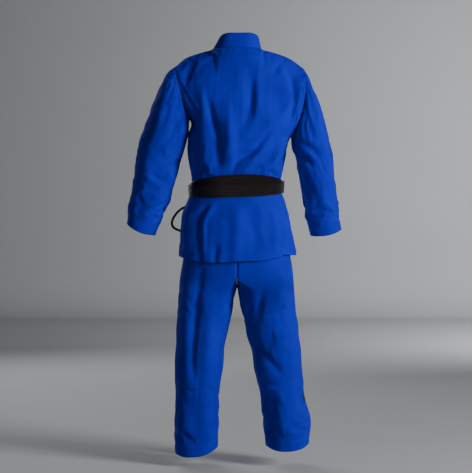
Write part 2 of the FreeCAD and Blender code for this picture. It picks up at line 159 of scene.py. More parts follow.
def cloth_coordinates(points: Array) -> Array:
    """Lengths along and across the cloth in metres: sums of the grid's own edges, from its middle."""
    across = np.linalg.norm(np.diff(points, axis=1), axis=2)
    u = np.concatenate([np.zeros((len(points), 1)), np.cumsum(across, axis=1)], axis=1)
    u -= u[:, u.shape[1] // 2][:, None]
    down = np.linalg.norm(np.diff(points, axis=0), axis=2).mean(axis=1)
    v = np.concatenate([[0.0], np.cumsum(down)])[:, None] * np.ones_like(u)
    return np.stack([u, v], axis=2)


@dataclass(frozen=True)
class Fold:
    """A fold in cloth, drawn on the garment as it is seen from behind or from the front.

    Attributes:
        path: points (x, z) that its crest passes through.
        width: half width of the crest.
        height: how far it stands out; negative is a valley.
        lean: 0 for an even crest, 1 or -1 for a step that drops off on one side.
        front: True if it lies on the front.
    """

    path: Pairs
    width: float
    height: float
    lean: float = 0.0
    front: bool = False

    def lift(self, points: Array) -> Array:
        """Height over the surface: a bell (and its slope, for a lean) of the distance to the path.

        Args:
            points: the surface's grid.

        Returns:
            The lift at each point, which fades in and out along the path.
        """
        knots = np.asarray(self.path, float)
        line = curve_through(spaced(knots, 28), np.arange(len(knots)), knots)
        flat = points.reshape(-1, 3)[:, [0, 2]]
        start, step = line[:-1], np.diff(line, axis=0)
        offset = flat[:, None, :] - start[None]
        share = np.clip((offset * step).sum(2) / np.maximum((step ** 2).sum(1), 1e-12), 0, 1)
        away = offset - share[:, :, None] * step
        distance = np.linalg.norm(away, axis=2)
        nearest = distance.argmin(axis=1)
        pick = np.arange(len(flat))
        near = away[pick, nearest]
        turn = np.sign(step[nearest, 0] * near[:, 1] - step[nearest, 1] * near[:, 0])
        q = turn * distance[pick, nearest] / self.width
        along = (nearest + share[pick, nearest]) / len(step)
        fade = np.sin(math.pi * np.clip(along, 0.02, 0.98)) ** 0.7
        shape = (1 - abs(self.lean)) * np.exp(-q * q) + self.lean * 1.6 * q * np.exp(-q * q)
        side = points.reshape(-1, 3)[:, 1] * (-1 if self.front else 1)
        return (self.height * fade * shape * smoothstep(side / 0.03 + 0.2)).reshape(points.shape[:2])


def crinkle(points: Array, seed: int, size: float, height: float, waves: int = 14) -> Array:
    """Small uneven wrinkles: a sum of plane waves of chosen directions, bent by two slow ones.

    Args:
        points: the surface's grid.
        seed: picks the directions and phases.
        size: mean distance from crest to crest.
        height: mean height.
        waves: how many waves are added.

    Returns:
        The lift at each point.
    """
    draw = np.random.default_rng(seed)
    slow = draw.normal(size=(2, 3)) * (2.0 / size / 4)
    bend = np.stack([np.sin(points @ s + draw.uniform(0, 6.3)) for s in slow], axis=2) * size * 0.5
    flat = points.copy()
    flat[..., 0] += bend[..., 0]
    flat[..., 2] += bend[..., 1]
    total = np.zeros(points.shape[:2])
    for _ in range(waves):
        direction = draw.normal(size=3)
        direction /= np.linalg.norm(direction)
        pitch = size * draw.uniform(0.6, 1.8)
        total += np.sin(flat @ direction * (2 * math.pi / pitch) + draw.uniform(0, 6.3))
    return height * total / math.sqrt(waves)


def folded(points: Array, folds: tuple[Fold, ...], closed: bool = False,
           extra: Array | None = None) -> Array:
    """Push a grid out along its normals by its folds and any other lift."""
    lift = np.zeros(points.shape[:2]) if extra is None else extra.copy()
    for fold in folds:
        lift += fold.lift(points)
    return points + normals_of(points, closed) * lift[..., None]


# ---------------------------------------------------------------- cloth simulation

@dataclass(frozen=True)
class Drape:
    """How a piece of cloth is let down by simulation.

    Attributes:
        slack: how much longer than its frame the cloth is cut, as a share.
        frames: how many steps it settles for.
        limit: the furthest that a point may move.
        every: the simulated grid keeps one row and column of so many.
        stiff: resistance to bending.
    """

    slack: float = 0.03
    frames: int = 16
    limit: float = 0.010
    every: int = 3
    stiff: float = 0.6

    def settle(self, name: str, points: Array, pins: Array) -> Array:
        """Let the cloth crumple under its own weight, and carry the movement to the fine grid.

        Args:
            name: a name for the passing piece.
            points: the fine grid.
            pins: how firmly each point is held, from 0 to 1.

        Returns:
            The fine grid with the movement added, read smoothly between the coarse grid's points.
        """
        rows = np.unique(np.append(np.arange(0, points.shape[0], self.every), points.shape[0] - 1))
        columns = np.unique(np.append(np.arange(0, points.shape[1], self.every), points.shape[1] - 1))
        coarse = points[np.ix_(rows, columns)]
        piece = grid_object(f"{name}_drape", coarse)
        group = piece.vertex_groups.new(name="held")
        held = pins[np.ix_(rows, columns)].ravel()
        for weight in np.unique(np.round(held, 2)):
            group.add(np.flatnonzero(np.round(held, 2) == weight).tolist(), float(weight), "REPLACE")
        cloth = piece.modifiers.new("cloth", "CLOTH")
        cloth.settings.quality = 6
        cloth.settings.mass = 0.15
        cloth.settings.tension_stiffness = 25
        cloth.settings.compression_stiffness = 25
        cloth.settings.shear_stiffness = 8
        cloth.settings.bending_stiffness = self.stiff
        cloth.settings.air_damping = 4
        cloth.settings.shrink_min = -self.slack
        cloth.settings.vertex_group_mass = "held"
        cloth.settings.effector_weights.gravity = 0.35
        cloth.collision_settings.use_collision = False
        cloth.point_cache.frame_end = self.frames + 1
        scene = bpy.context.scene
        for step in range(1, self.frames + 1):
            scene.frame_set(step)
        moved = piece.evaluated_get(bpy.context.evaluated_depsgraph_get()).data
        after = np.empty(len(moved.vertices) * 3)
        moved.vertices.foreach_get("co", after)
        shift = after.reshape(coarse.shape) - coarse
        size = np.linalg.norm(shift, axis=2, keepdims=True)
        shift *= self.limit * np.tanh(size / self.limit) / np.maximum(size, 1e-9)
        bpy.data.objects.remove(piece, do_unlink=True)
        scene.frame_set(1)
        down = curve_through(np.arange(points.shape[0]), rows, shift)
        across = curve_through(np.arange(points.shape[1]), columns, down.transpose(1, 0, 2))
        return points + across.transpose(1, 0, 2)


# ---------------------------------------------------------------- meshes


def grid_object(name: str, points: Array, keep: Array | None = None,
                merge: bool = False) -> Piece:
    """Make a mesh from a grid of points: a quad between each four neighbours.

    Args:
        name: the piece's name.
        points: rows by columns by 3.
        keep: which of the quads are made, all of them if it is left out.
        merge: True to join points that lie on each other, as where a tube closes.

    Returns:
        The new object, at the origin, with a UV map in metres of cloth.
    """
    rows, columns = points.shape[:2]
    index = np.arange(rows * columns).reshape(rows, columns)
    quads = np.stack([index[:-1, :-1], index[:-1, 1:], index[1:, 1:], index[1:, :-1]], axis=2)
    quads = quads.reshape(-1, 4) if keep is None else quads.reshape(-1, 4)[keep]
    mesh = bpy.data.meshes.new(name)
    mesh.vertices.add(rows * columns)
    mesh.vertices.foreach_set("co", points.ravel())
    mesh.loops.add(quads.size)
    mesh.loops.foreach_set("vertex_index", quads.ravel().astype(np.int32))
    mesh.polygons.add(len(quads))
    mesh.polygons.foreach_set("loop_start", np.arange(0, quads.size, 4, dtype=np.int32))
    mesh.polygons.foreach_set("use_smooth", np.ones(len(quads), bool))
    mesh.update(calc_edges=True)
    layer = mesh.uv_layers.new(name="UVMap")
    layer.data.foreach_set("uv", cloth_coordinates(points).reshape(-1, 2)[quads.ravel()].ravel())
    mesh.validate()
    piece = bpy.data.objects.new(name, mesh)
    bpy.context.scene.collection.objects.link(piece)
    if merge:
        weld = piece.modifiers.new("weld", "WELD")
        weld.merge_threshold = 0.00005
        apply_modifiers(piece)
    return piece


def apply_modifiers(piece: Piece) -> None:
    """Make the modifiers' result the piece's own mesh."""
    ready = piece.evaluated_get(bpy.context.evaluated_depsgraph_get())
    mesh = bpy.data.meshes.new_from_object(ready)
    piece.modifiers.clear()
    piece.data = mesh


def shade_joined(piece: Piece, row: Array, normal: Array) -> None:
    """Shade the edge where two meshes meet as one cloth.

    A corner within 0.2 mm of the shared row takes the whole surface's normal there, and the rest keep
    their own.

    Args:
        piece: one of the two meshes.
        row: the row of points that both share.
        normal: the whole surface's normals along it.
    """
    mesh = piece.data
    place, own = np.empty(len(mesh.vertices) * 3), np.empty(len(mesh.vertices) * 3)
    mesh.vertices.foreach_get("co", place)
    mesh.vertices.foreach_get("normal", own)
    place, own = place.reshape(-1, 3), own.reshape(-1, 3)
    level, margin, touch = place[:, 2], 0.001, 0.0002
    close = np.flatnonzero((level < row[:, 2].max() + margin) & (level > row[:, 2].min() - margin))
    gap = np.linalg.norm(place[close][:, None] - row[None], axis=2)
    on = gap.min(axis=1) < touch
    own[close[on]] = normal[gap[on].argmin(axis=1)]
    mesh.normals_split_custom_set_from_vertices(own.tolist())


def thicken(piece: Piece, thickness: float, outward: float = -1.0) -> None:
    """Give the cloth its thickness, inward from its face unless outward is 1."""
    wall = piece.modifiers.new("thickness", "SOLIDIFY")
    wall.thickness = thickness
    wall.offset = outward
    wall.use_even_offset = False
    apply_modifiers(piece)


class Stitch(Enum):
    """Sorts of sewing: length of a stitch, gap to the next and radius of the thread, in metres."""

    TOPSTITCH = (0.0036, 0.0014, 0.00055)


def stitches(lines: list[tuple[Array, Array]], kind: Stitch) -> tuple[Array, Array]:
    """Threads along lines on the cloth.

    Each stitch is a lengthened six-sided bead: rings of radius r times the sine of their angle, set
    along the line, half sunk in the cloth.

    Args:
        lines: pairs of points and normals along each line.
        kind: the sort of sewing.

    Returns:
        Points and quads of all the stitches.
    """
    length, gap, radius = kind.value
    sides, rings, blunt = 6, 4, 0.12
    ring = np.linspace(0, CLOSED, sides, endpoint=False)
    steps = np.linspace(blunt, math.pi - blunt, rings)
    points, quads, count = [], [], 0
    for line, normal in lines:
        total = np.linalg.norm(np.diff(line, axis=0), axis=1).sum()
        number = max(2, int(total / (length + gap)))
        at = spaced(line, number * 2 + 1)
        keys = np.arange(len(line))
        place = np.stack([np.interp(at, keys, line[:, k]) for k in range(3)], axis=1)
        up = np.stack([np.interp(at, keys, normal[:, k]) for k in range(3)], axis=1)
        middle, out = place[1::2], up[1::2]
        out /= np.linalg.norm(out, axis=1, keepdims=True)
        ahead = place[2::2] - place[:-2:2]
        ahead /= np.maximum(np.linalg.norm(ahead, axis=1, keepdims=True), 1e-9)
        across = np.cross(out, ahead)
        body = (middle[:, None, None, :]
                - ahead[:, None, None, :] * (np.cos(steps) * length / 2)[None, :, None, None])
        reach = (np.sin(steps) * radius)[None, :, None, None]
        body = body + reach * (np.cos(ring)[None, None, :, None] * across[:, None, None, :]
                               + np.sin(ring)[None, None, :, None] * out[:, None, None, :])
        body += out[:, None, None, :] * radius * 0.35
        n = len(middle)
        index = (np.arange(n * rings * sides) + count).reshape(n, rings, sides)
        rolled = np.roll(index, -1, axis=2)
        side = np.stack([index[:, :-1], rolled[:, :-1], rolled[:, 1:], index[:, 1:]], axis=3)
        quads.append(side.reshape(-1, 4))
        points.append(body.reshape(-1, 3))
        count += n * rings * sides
    return np.concatenate(points), np.concatenate(quads)


def loose_object(name: str, points: Array, quads: Array) -> Piece:
    """Make a mesh from points and quads that share no grid."""
    mesh = bpy.data.meshes.new(name)
    mesh.from_pydata(points.tolist(), [], quads.tolist())
    mesh.polygons.foreach_set("use_smooth", np.ones(len(quads), bool))
    mesh.update()
    piece = bpy.data.objects.new(name, mesh)
    bpy.context.scene.collection.objects.link(piece)
    return piece


# ---------------------------------------------------------------- finishes

WAVE = 0.314159           # a wave texture's scale times its period in metres


def linear(colour: str) -> tuple[float, float, float, float]:
    """Turn an sRGB hex value into a linear colour."""
    parts = [int(colour[i:i + 2], 16) / 255 for i in (1, 3, 5)]
    scaled = [c / 12.92 if c <= 0.04045 else ((c + 0.055) / 1.055) ** 2.4 for c in parts]
    return (*scaled, 1.0)


def add(tree: Tree, kind: str, inputs: dict | None = None, **settings) -> bpy.types.Node:
    """Add a node.

    Args:
        tree: the material's nodes.
        kind: the node's type.
        inputs: socket names or numbers, each with a value or with another node's output.
        settings: properties of the node itself.

    Returns:
        The new node.
    """
    node = tree.nodes.new(kind)
    for name, value in settings.items():
        setattr(node, name, value)
    for name, value in (inputs or {}).items():
        if isinstance(value, Socket):
            tree.links.new(value, node.inputs[name])
        else:
            node.inputs[name].default_value = value
    return node


def mixed(tree: Tree, share: Socket, face: str, wear_and_highlight: str) -> Socket:
    """Blend two sRGB colours by a share."""
    blend = add(tree, "ShaderNodeMix", {0: share, 6: linear(face), 7: linear(wear_and_highlight)}, data_type="RGBA")
    return blend.outputs[2]


def shaded(tree: Tree, tone: Socket, height: Socket, relief: float,
           values: dict, strength: float = 1.0) -> None:
    """Add the shader and the output.

    Args:
        tree: the material's nodes.
        tone: its colour.
        height: the pattern that stands up.
        relief: how far it stands up, in metres.
        values: the shader's other sockets.
        strength: the bump's strength.
    """
    bump = add(tree, "ShaderNodeBump", {"Height": height, "Distance": relief, "Strength": strength})
    shader = add(tree, "ShaderNodeBsdfPrincipled",
                 {"Base Color": tone, "Normal": bump.outputs[0], **values})
    add(tree, "ShaderNodeOutputMaterial", {"Surface": shader.outputs[0]})


def new_material(name: str) -> tuple[Material, Tree]:
    """A material with an empty node tree."""
    material = bpy.data.materials.new(name)
    material.use_nodes = True
    material.node_tree.nodes.clear()
    return material, material.node_tree


@dataclass(frozen=True)
class WovenCotton:
    """Dyed cotton, woven on a loom: matt, with a soft sheen at grazing angles.

    The jacket's thick rice-grain weave shows as small diamonds, and drill and tape as slanting ribs.

    Attributes:
        name: the finish's name.
        face: colour of the cloth.
        wear_and_highlight: colour where it has faded with washing.
        pitch: distance from thread to thread, drawn about twice as coarse as real so that it shows.
        relief: how deep the weave is.
        diamonds: True for the rice-grain weave of a jacket, False for the slanting ribs of a twill.
    """

    name: str
    face: str
    wear_and_highlight: str
    pitch: float
    relief: float
    diamonds: bool = True

    def make(self) -> Material:
        """Build the material.

        Two bands of waves on the cloth's own UV map cross to make the weave, slow noise fades the dye,
        and fine noise is the fuzz of the fibres.
        """
        material, tree = new_material(self.name)
        cloth = add(tree, "ShaderNodeUVMap", uv_map="UVMap").outputs["UV"]
        place = add(tree, "ShaderNodeTexCoord").outputs["Object"]
        bands = WAVE / self.pitch
        angles = (0.75, -0.75) if self.diamonds else (0.9, 0.9)
        waves = []
        for angle in angles:
            turned = add(tree, "ShaderNodeMapping", {"Vector": cloth, "Rotation": (0.0, 0.0, angle)})
            wave = add(tree, "ShaderNodeTexWave", {"Vector": turned.outputs[0], "Scale": bands,
                                                   "Distortion": 0.6, "Detail": 1.0,
                                                   "Detail Scale": 2.0})
            waves.append(wave.outputs["Fac"])
        weave = add(tree, "ShaderNodeMath", {0: waves[0], 1: waves[1]}, operation="MULTIPLY").outputs[0]
        fade = add(tree, "ShaderNodeTexNoise", {"Vector": place, "Scale": 7.0, "Detail": 5.0,
                                                "Roughness": 0.62}).outputs["Fac"]
        fuzz = add(tree, "ShaderNodeTexNoise", {"Vector": place, "Scale": 420.0,
                                                "Detail": 2.0}).outputs["Fac"]
        share = add(tree, "ShaderNodeMapRange", {"Value": fade, "From Min": 0.38, "From Max": 0.72})
        dye = mixed(tree, share.outputs[0], self.face, self.wear_and_highlight)
        shade = add(tree, "ShaderNodeMapRange", {"Value": weave, "To Min": 0.78, "To Max": 1.12})
        tone = add(tree, "ShaderNodeVectorMath", {0: dye, "Scale": shade.outputs[0]},
                   operation="SCALE")
        height = add(tree, "ShaderNodeMath", {0: fuzz, 1: 0.25, 2: weave}, operation="MULTIPLY_ADD")
        shaded(tree, tone.outputs[0], height.outputs[0], self.relief,
               {"Roughness": 0.88, "Specular IOR Level": 0.22, "Sheen Weight": 0.10,
                "Sheen Roughness": 0.45, "Sheen Tint": linear(self.wear_and_highlight)}, 0.9)
        return material


@dataclass(frozen=True)
class StitchedWebbing:
    """Black cotton webbing, sewn lengthwise in close rows.

    The rows stand up as ribs that catch a soft light, with a warm brown highlight painted in patches on their
    crests.
    """

    name: str = "black_cotton_webbing"
    face: str = "#030304"
    # the second colour here is a warm brown highlight painted on the rib crests
    wear_and_highlight: str = "#2e2014"
    rib: float = 0.0044
    relief: float = 0.0028

    def make(self) -> Material:
        """Build the material: ribs on the webbing's own UV map, threads across, a painted highlight on
        crests.
        """
        material, tree = new_material(self.name)
        cloth = add(tree, "ShaderNodeUVMap", uv_map="UVMap").outputs["UV"]
        place = add(tree, "ShaderNodeTexCoord").outputs["Object"]
        upright = add(tree, "ShaderNodeMapping", {"Vector": cloth, "Rotation": (0, 0, math.pi / 2)})
        ribs = add(tree, "ShaderNodeTexWave", {"Vector": cloth,
                                               "Scale": WAVE / self.rib, "Distortion": 0.15})
        threads = add(tree, "ShaderNodeTexWave", {"Vector": upright.outputs[0],
                                                  "Scale": WAVE / 0.003, "Distortion": 0.5})
        # painted highlight: random patches of warm brown, kept to the rib crests below
        highlight_patches = add(tree, "ShaderNodeTexNoise", {"Vector": place, "Scale": 24.0,
                                                "Detail": 4.0}).outputs["Fac"]
        share = add(tree, "ShaderNodeMath", {0: highlight_patches, 1: ribs.outputs["Fac"]}, operation="MULTIPLY")
        tone = mixed(tree, share.outputs[0], self.face, self.wear_and_highlight)
        height = add(tree, "ShaderNodeMath", {0: threads.outputs["Fac"], 1: 0.3,
                                              2: ribs.outputs["Fac"]}, operation="MULTIPLY_ADD")
        shaded(tree, tone, height.outputs[0], self.relief,
               {"Roughness": 0.40, "Specular IOR Level": 0.5, "Sheen Weight": 0.04,
                "Sheen Tint": linear("#6a5240")})
        return material


@dataclass(frozen=True)
class BraidedCotton:
    """Round cotton drawcord, braided: strands cross in a fine, dull herringbone."""

    name: str = "braided_cotton_cord"
    face: str = "#050b26"
    wear_and_highlight: str = "#0a1848"

    def make(self) -> Material:
        """Build the material: two slanting waves on the cord's own UV map."""
        material, tree = new_material(self.name)
        cloth = add(tree, "ShaderNodeUVMap", uv_map="UVMap").outputs["UV"]
        outputs = []
        for angle in (0.8, -0.8):
            turned = add(tree, "ShaderNodeMapping", {"Vector": cloth, "Rotation": (0, 0, angle)})
            outputs.append(add(tree, "ShaderNodeTexWave", {"Vector": turned.outputs[0],
                                                           "Scale": WAVE / 0.0022}).outputs["Fac"])
        braid = add(tree, "ShaderNodeMath", {0: outputs[0], 1: outputs[1]}, operation="MAXIMUM")
        tone = mixed(tree, braid.outputs[0], self.face, self.wear_and_highlight)
        shaded(tree, tone, braid.outputs[0], 0.0008, {"Roughness": 0.7})
        return material


@dataclass(frozen=True)
class PlainFinish:
    """A matt finish with a faint mottle.

    It serves for spun polyester thread, which has a slight gloss, for a moulded foam core and a woven
    label, which are dull and even, and for the studio's painted floor.
    """

    name: str
    face: str
    wear_and_highlight: str
    roughness: float
    grain: float

    def make(self) -> Material:
        """Build the material: noise mixes two close colours and roughens the surface."""
        material, tree = new_material(self.name)
        place = add(tree, "ShaderNodeTexCoord").outputs["Object"]
        noise = add(tree, "ShaderNodeTexNoise", {"Vector": place, "Scale": self.grain, "Detail": 3.0})
        tone = mixed(tree, noise.outputs["Fac"], self.face, self.wear_and_highlight)
        shaded(tree, tone, noise.outputs["Fac"], 0.0002, {"Roughness": self.roughness})
        return material


@dataclass(frozen=True)
class Wardrobe:
    """All the uniform's materials, made once."""

    jacket: Material
    trousers: Material
    tape: Material
    webbing: Material
    cord: Material
    thread: Material
    core: Material
    label: Material
    floor: Material

    @classmethod
    def open(cls) -> "Wardrobe":
        """Make every material."""
        return cls(
            WovenCotton("pearl_weave_cotton", "#041db2", "#0827ca", 0.0042, 0.0011).make(),
            WovenCotton("cotton_drill", "#031ba6", "#0724be", 0.0034, 0.0007, diamonds=False).make(),
            WovenCotton("twill_tape", "#031894", "#0620aa", 0.0022, 0.0005, diamonds=False).make(),
            StitchedWebbing().make(),
            BraidedCotton().make(),
            PlainFinish("polyester_thread", "#0520ac", "#0e2fd2", 0.55, 900.0).make(),
            PlainFinish("moulded_foam_core", "#26282c", "#3a3c40", 0.8, 60.0).make(),
            PlainFinish("blank_woven_label", "#06123a", "#0a1a4a", 0.7, 300.0).make(),
            PlainFinish("studio_floor", "#a9aaac", "#aeafb1", 0.8, 2.0).make(),
        )


def joint(name: str) -> dict:
    """One of the frame's joints, by its name."""
    return next(j for j in frame["joints"] if j["name"] == name)


def dress(piece: Piece, material: Material) -> None:
    """Give a piece its material."""
    piece.data.materials.clear()
    piece.data.materials.append(material)


def sewn(name: str, lines: list[tuple[Array, Array]], wardrobe: Wardrobe, slot: str) -> Piece:
    """Topstitching along lines of points and normals, as one dressed piece."""
    piece = loose_object(name, *stitches(lines, Stitch.TOPSTITCH))
    dress(piece, wardrobe.thread)
    return piece


def cut(name: str, grid: Array, thick: float, material: Material, slot: str,
        **how: Array | bool) -> Piece:
    """A grid of cloth, made with its thickness and dressed; how is as for grid_object."""
    piece = grid_object(name, grid, **how)
    thicken(piece, thick)
    dress(piece, material)
    return piece


@dataclass(frozen=True)
class Hang:
    """What a piece is meant to move with: one body, or two with the plane where one would hand over to the
    other.

    Attributes:
        body: the body that it rides on.
        other: the body that it would follow past the end, or nothing; a piece that has one is tied to neither
            body.
        start: where the second body would begin to take over; not used.
        end: where it would have taken over; not used.
    """

    body: str
    other: str = ""
    start: Point = (0.0, 0.0, 0.0)
    end: Point = (0.0, 0.0, 0.0)

    def carry(self, piece: Piece) -> None:
        """Tie the piece to its body; with a second body it is tied to neither, and its place is only baked
        into its mesh.
        """
        if self.other:
            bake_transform(piece)
        else:
            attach(piece, self.body)


# ---------------------------------------------------------------- sleeves

@dataclass(frozen=True)
class Station:
    """One ring of a sleeve.

    Attributes:
        outer: where its outer side is, (x, z).
        inner: where its inner side is, (x, z).
        deep: its half depth.
        bow: how far its front and back bulge along the arm.
    """

    outer: tuple[float, float]
    inner: tuple[float, float]
    deep: float
    bow: float = 0.0

    def ring(self, angle: Array, sign: int) -> Array:
        """Points of the ring: its middle, plus the cosine of the angle across and the sine in depth.

        Args:
            angle: 0 at the outer side, half a turn at the inner one; the back is positive.
            sign: 1 for the wearer's left arm, -1 for the right.

        Returns:
            One point for each angle.
        """
        outer, inner = np.array(self.outer), np.array(self.inner)
        middle, half = (outer + inner) / 2, (outer - inner) / 2
        ahead = sign * np.array([half[1], -half[0]]) / np.linalg.norm(half)
        cosine, sine = power(np.cos(angle), 0.92), power(np.sin(angle), 0.92)
        flat = middle + cosine[:, None] * half + (self.bow * np.sin(angle) ** 2)[:, None] * ahead
        return np.stack([flat[:, 0], self.deep * sine, flat[:, 1]], axis=1)


LEFT_ARM = (
    Station((0.2050, -0.0660), (0.1600, -0.2460), 0.058, 0.004),
    Station((0.2300, -0.0830), (0.1608, -0.2580), 0.070, 0.002),
    Station((0.2610, -0.1330), (0.1625, -0.2790), 0.079),
    Station((0.2860, -0.1900), (0.1650, -0.3010), 0.083),
    Station((0.3080, -0.2500), (0.1720, -0.3250), 0.084),
    Station((0.3308, -0.3160), (0.1832, -0.3498), 0.083),
    Station((0.3397, -0.3571), (0.1960, -0.3900), 0.080),
    Station((0.3460, -0.3977), (0.2041, -0.4302), 0.077),
    Station((0.3506, -0.4377), (0.2159, -0.4685), 0.074),
    Station((0.3574, -0.4792), (0.2268, -0.5091), 0.070),
    Station((0.3644, -0.5186), (0.2425, -0.5507), 0.066),
    Station((0.3684, -0.5608), (0.2581, -0.5943), 0.062),
    Station((0.3717, -0.5929), (0.2760, -0.6343), 0.058, 0.010),
)
RIGHT_ARM = (
    Station((-0.2220, -0.0720), (-0.1820, -0.3030), 0.060, 0.024),
    Station((-0.2430, -0.1040), (-0.1828, -0.3120), 0.072, 0.014),
    Station((-0.2700, -0.1650), (-0.1845, -0.3240), 0.080, 0.005),
    Station((-0.2930, -0.2260), (-0.1880, -0.3370), 0.083),
    Station((-0.3080, -0.2820), (-0.1930, -0.3510), 0.083),
    Station((-0.3213, -0.3437), (-0.1991, -0.3653), 0.083),
    Station((-0.3272, -0.3884), (-0.2080, -0.4094), 0.080),
    Station((-0.3305, -0.4279), (-0.2163, -0.4485), 0.076),
    Station((-0.3363, -0.4681), (-0.2219, -0.4897), 0.072),
    Station((-0.3403, -0.5090), (-0.2272, -0.5329), 0.068),
    Station((-0.3438, -0.5490), (-0.2335, -0.5745), 0.064),
    Station((-0.3470, -0.5900), (-0.2417, -0.6136), 0.060),
    Station((-0.3496, -0.6159), (-0.2482, -0.6348), 0.057, 0.010),
)
SPLIT = 5                 # the ring that is wholly the upper arm's, where a sleeve's two meshes meet


@dataclass(frozen=True)
class Sleeve:
    """A sleeve, sewn into its armhole and taped at its cuff.

    Attributes:
        side: left or right, as the wearer has it.
        sign: 1 for left, -1 for right.
        stations: its rings, from the armhole to the cuff.
        folds: the folds in it.
        shoulder: the points where the arm begins to take over from the jacket, and has taken over.
        seed: picks its wrinkles.
        step: spacing of the grid's points.
        thick: thickness of the cloth.
    """

    side: str
    sign: int
    stations: tuple[Station, ...]
    folds: tuple[Fold, ...]
    shoulder: tuple[Point, Point]
    seed: int
    step: float = 0.0030
    thick: float = 0.0028

    def surface(self) -> tuple[Array, int]:
        """The whole sleeve as rings from the armhole to the cuff, and the row where it is split.

        The rings are a smooth curve through the stations, ring angle by ring angle, so that the
        surface is a function of the angle and of the distance down the arm.
        """
        columns = 190
        turn = math.pi - self.sign * np.linspace(0, CLOSED, columns)
        rings = np.stack([s.ring(turn, self.sign) for s in self.stations])
        centres = rings.mean(axis=1)
        run = np.concatenate([[0.0], np.cumsum(np.linalg.norm(np.diff(centres, axis=0), axis=1))])
        upper = int(run[SPLIT] * 1.25 / self.step)
        lower = int((run[-1] - run[SPLIT]) / self.step)
        at = np.concatenate([np.linspace(0, run[SPLIT], upper + 1),
                             np.linspace(run[SPLIT], run[-1], lower)[1:]])
        smooth = curve_through(at, run, rings)
        self.close(smooth)
        soft = crinkle(smooth, self.seed, 0.075, 0.0016) + crinkle(smooth, self.seed + 7, 0.032, 0.0007)
        fade = smoothstep((at - 0.010) / 0.05)[:, None]
        moved = folded(smooth, self.folds, True, soft) - smooth
        smooth = smooth + moved * fade[..., None]
        self.close(smooth)
        drape = Drape(slack=0.012, limit=0.0045)
        smooth = drape.settle(f"{self.side}_sleeve", smooth, self.pins(at, columns))
        self.close(smooth)
        groove = -0.0011 * np.exp(-((at - run[-1] + 0.040) / 0.0016) ** 2)    # the cuff's sewn edge
        smooth = smooth + normals_of(smooth, True) * groove[:, None, None]
        self.close(smooth)
        return smooth, upper

    def pins(self, at: Array, columns: int) -> Array:
        """The sleeve is held at its armhole and over the last 70 mm above its cuff."""
        hold = np.exp(-((at - at[0]) / 0.012) ** 2) + smoothstep((at - at[-1] + 0.07) / 0.025)
        return np.clip(hold, 0, 1)[:, None] * np.ones(columns)

    @staticmethod
    def close(points: Array) -> None:
        """Make the last column lie on the first."""
        points[:, 0] = points[:, -1] = (points[:, 0] + points[:, -1]) / 2

    def build(self, wardrobe: Wardrobe) -> list[Piece]:
        """Make and dress the sleeve's pieces.

        Args:
            wardrobe: the materials.

        Returns:
            The upper and lower halves, the cuff's facing and the stitching.
        """
        points, split = self.surface()
        hinge = joint(f"{self.side}_elbow")
        elbow, axis = np.array(hinge["pos_m"]), hinge["axis"]
        along = np.array([self.sign * abs(axis[2]), 0.0, -abs(axis[0])])    # down the arm
        elbow_hang = Hang(f"{self.side}_upper_arm", f"{self.side}_forearm",
                          tuple(elbow - along * 0.032), tuple(elbow + along * 0.075))
        shoulder_hang = Hang("jacket", f"{self.side}_upper_arm", *self.shoulder)
        upper, lower = (cut(f"{self.side}_sleeve_{half}", part, self.thick, wardrobe.jacket,
                            "jacket_cloth", merge=True)
                        for half, part in (("upper", points[:split + 1]), ("lower", points[split:])))
        normal = normals_of(points, True)
        facing = points[-14:] - normal[-14:] * (self.thick + FACING_GAP)
        tape = cut(f"{self.side}_cuff_tape_cloth", facing, TAPE, wardrobe.tape, "hem_tape", merge=True)
        for half in (upper, lower):
            shade_joined(half, points[split], normal[split])
        for piece, cad in ((upper, [f"{self.side}_upper_sleeve", f"{self.side}_shoulder_cap"]),
                           (lower, [f"{self.side}_elbow_cloth", f"{self.side}_lower_sleeve"])):
            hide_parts(*cad)
        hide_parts(f"{self.side}_cuff_tape")
        rows = [(points[-k], normal[-k]) for k in (3, 13, 15)]
        sewing = sewn(f"{self.side}_cuff_stitching", rows, wardrobe, "jacket_cloth")
        head = [(points[k], normal[k]) for k in (2, 5)]
        seam = sewn(f"{self.side}_armhole_stitching", head, wardrobe, "jacket_cloth")
        shoulder_hang.carry(upper)
        shoulder_hang.carry(seam)
        for piece in (lower, tape, sewing):
            elbow_hang.carry(piece)
        return [upper, lower, tape, sewing, seam]


# ---------------------------------------------------------------- jacket body

@dataclass(frozen=True)
class Outline:
    """The torso's half sizes at each level, as tables of (level, size).

    Attributes:
        left: half width on the wearer's left.
        right: half width on the wearer's right.
        back: half depth behind.
        front: half depth in front.
    """

    left: Pairs = (
        (-0.010, 0.150), (-0.066, 0.212), (-0.100, 0.214), (-0.156, 0.208), (-0.200, 0.198),
        (-0.235, 0.176), (-0.247, 0.162), (-0.300, 0.163), (-0.347, 0.166), (-0.400, 0.158),
        (-0.440, 0.152), (-0.500, 0.150))
    right: Pairs = (
        (-0.010, 0.150), (-0.072, 0.232), (-0.120, 0.246), (-0.180, 0.246), (-0.216, 0.238),
        (-0.260, 0.215), (-0.290, 0.193), (-0.304, 0.183), (-0.320, 0.174), (-0.370, 0.163),
        (-0.425, 0.152), (-0.440, 0.148), (-0.500, 0.147))
    back: Pairs = (
        (-0.010, 0.062), (-0.050, 0.080), (-0.084, 0.092), (-0.130, 0.103), (-0.180, 0.111),
        (-0.218, 0.114), (-0.280, 0.114), (-0.330, 0.111), (-0.400, 0.110), (-0.440, 0.112),
        (-0.500, 0.114))
    front: Pairs = (
        (-0.010, 0.050), (-0.050, 0.068), (-0.084, 0.084), (-0.130, 0.099), (-0.180, 0.108),
        (-0.250, 0.112), (-0.330, 0.112), (-0.400, 0.109), (-0.440, 0.111), (-0.500, 0.114))

    def width(self, level: Array, side: int) -> Array:
        """Half width at a level on one side."""
        return profile(level, self.left if side > 0 else self.right)

    def depth(self, level: Array, rear: bool) -> Array:
        """Half depth at a level."""
        return profile(level, self.back if rear else self.front)


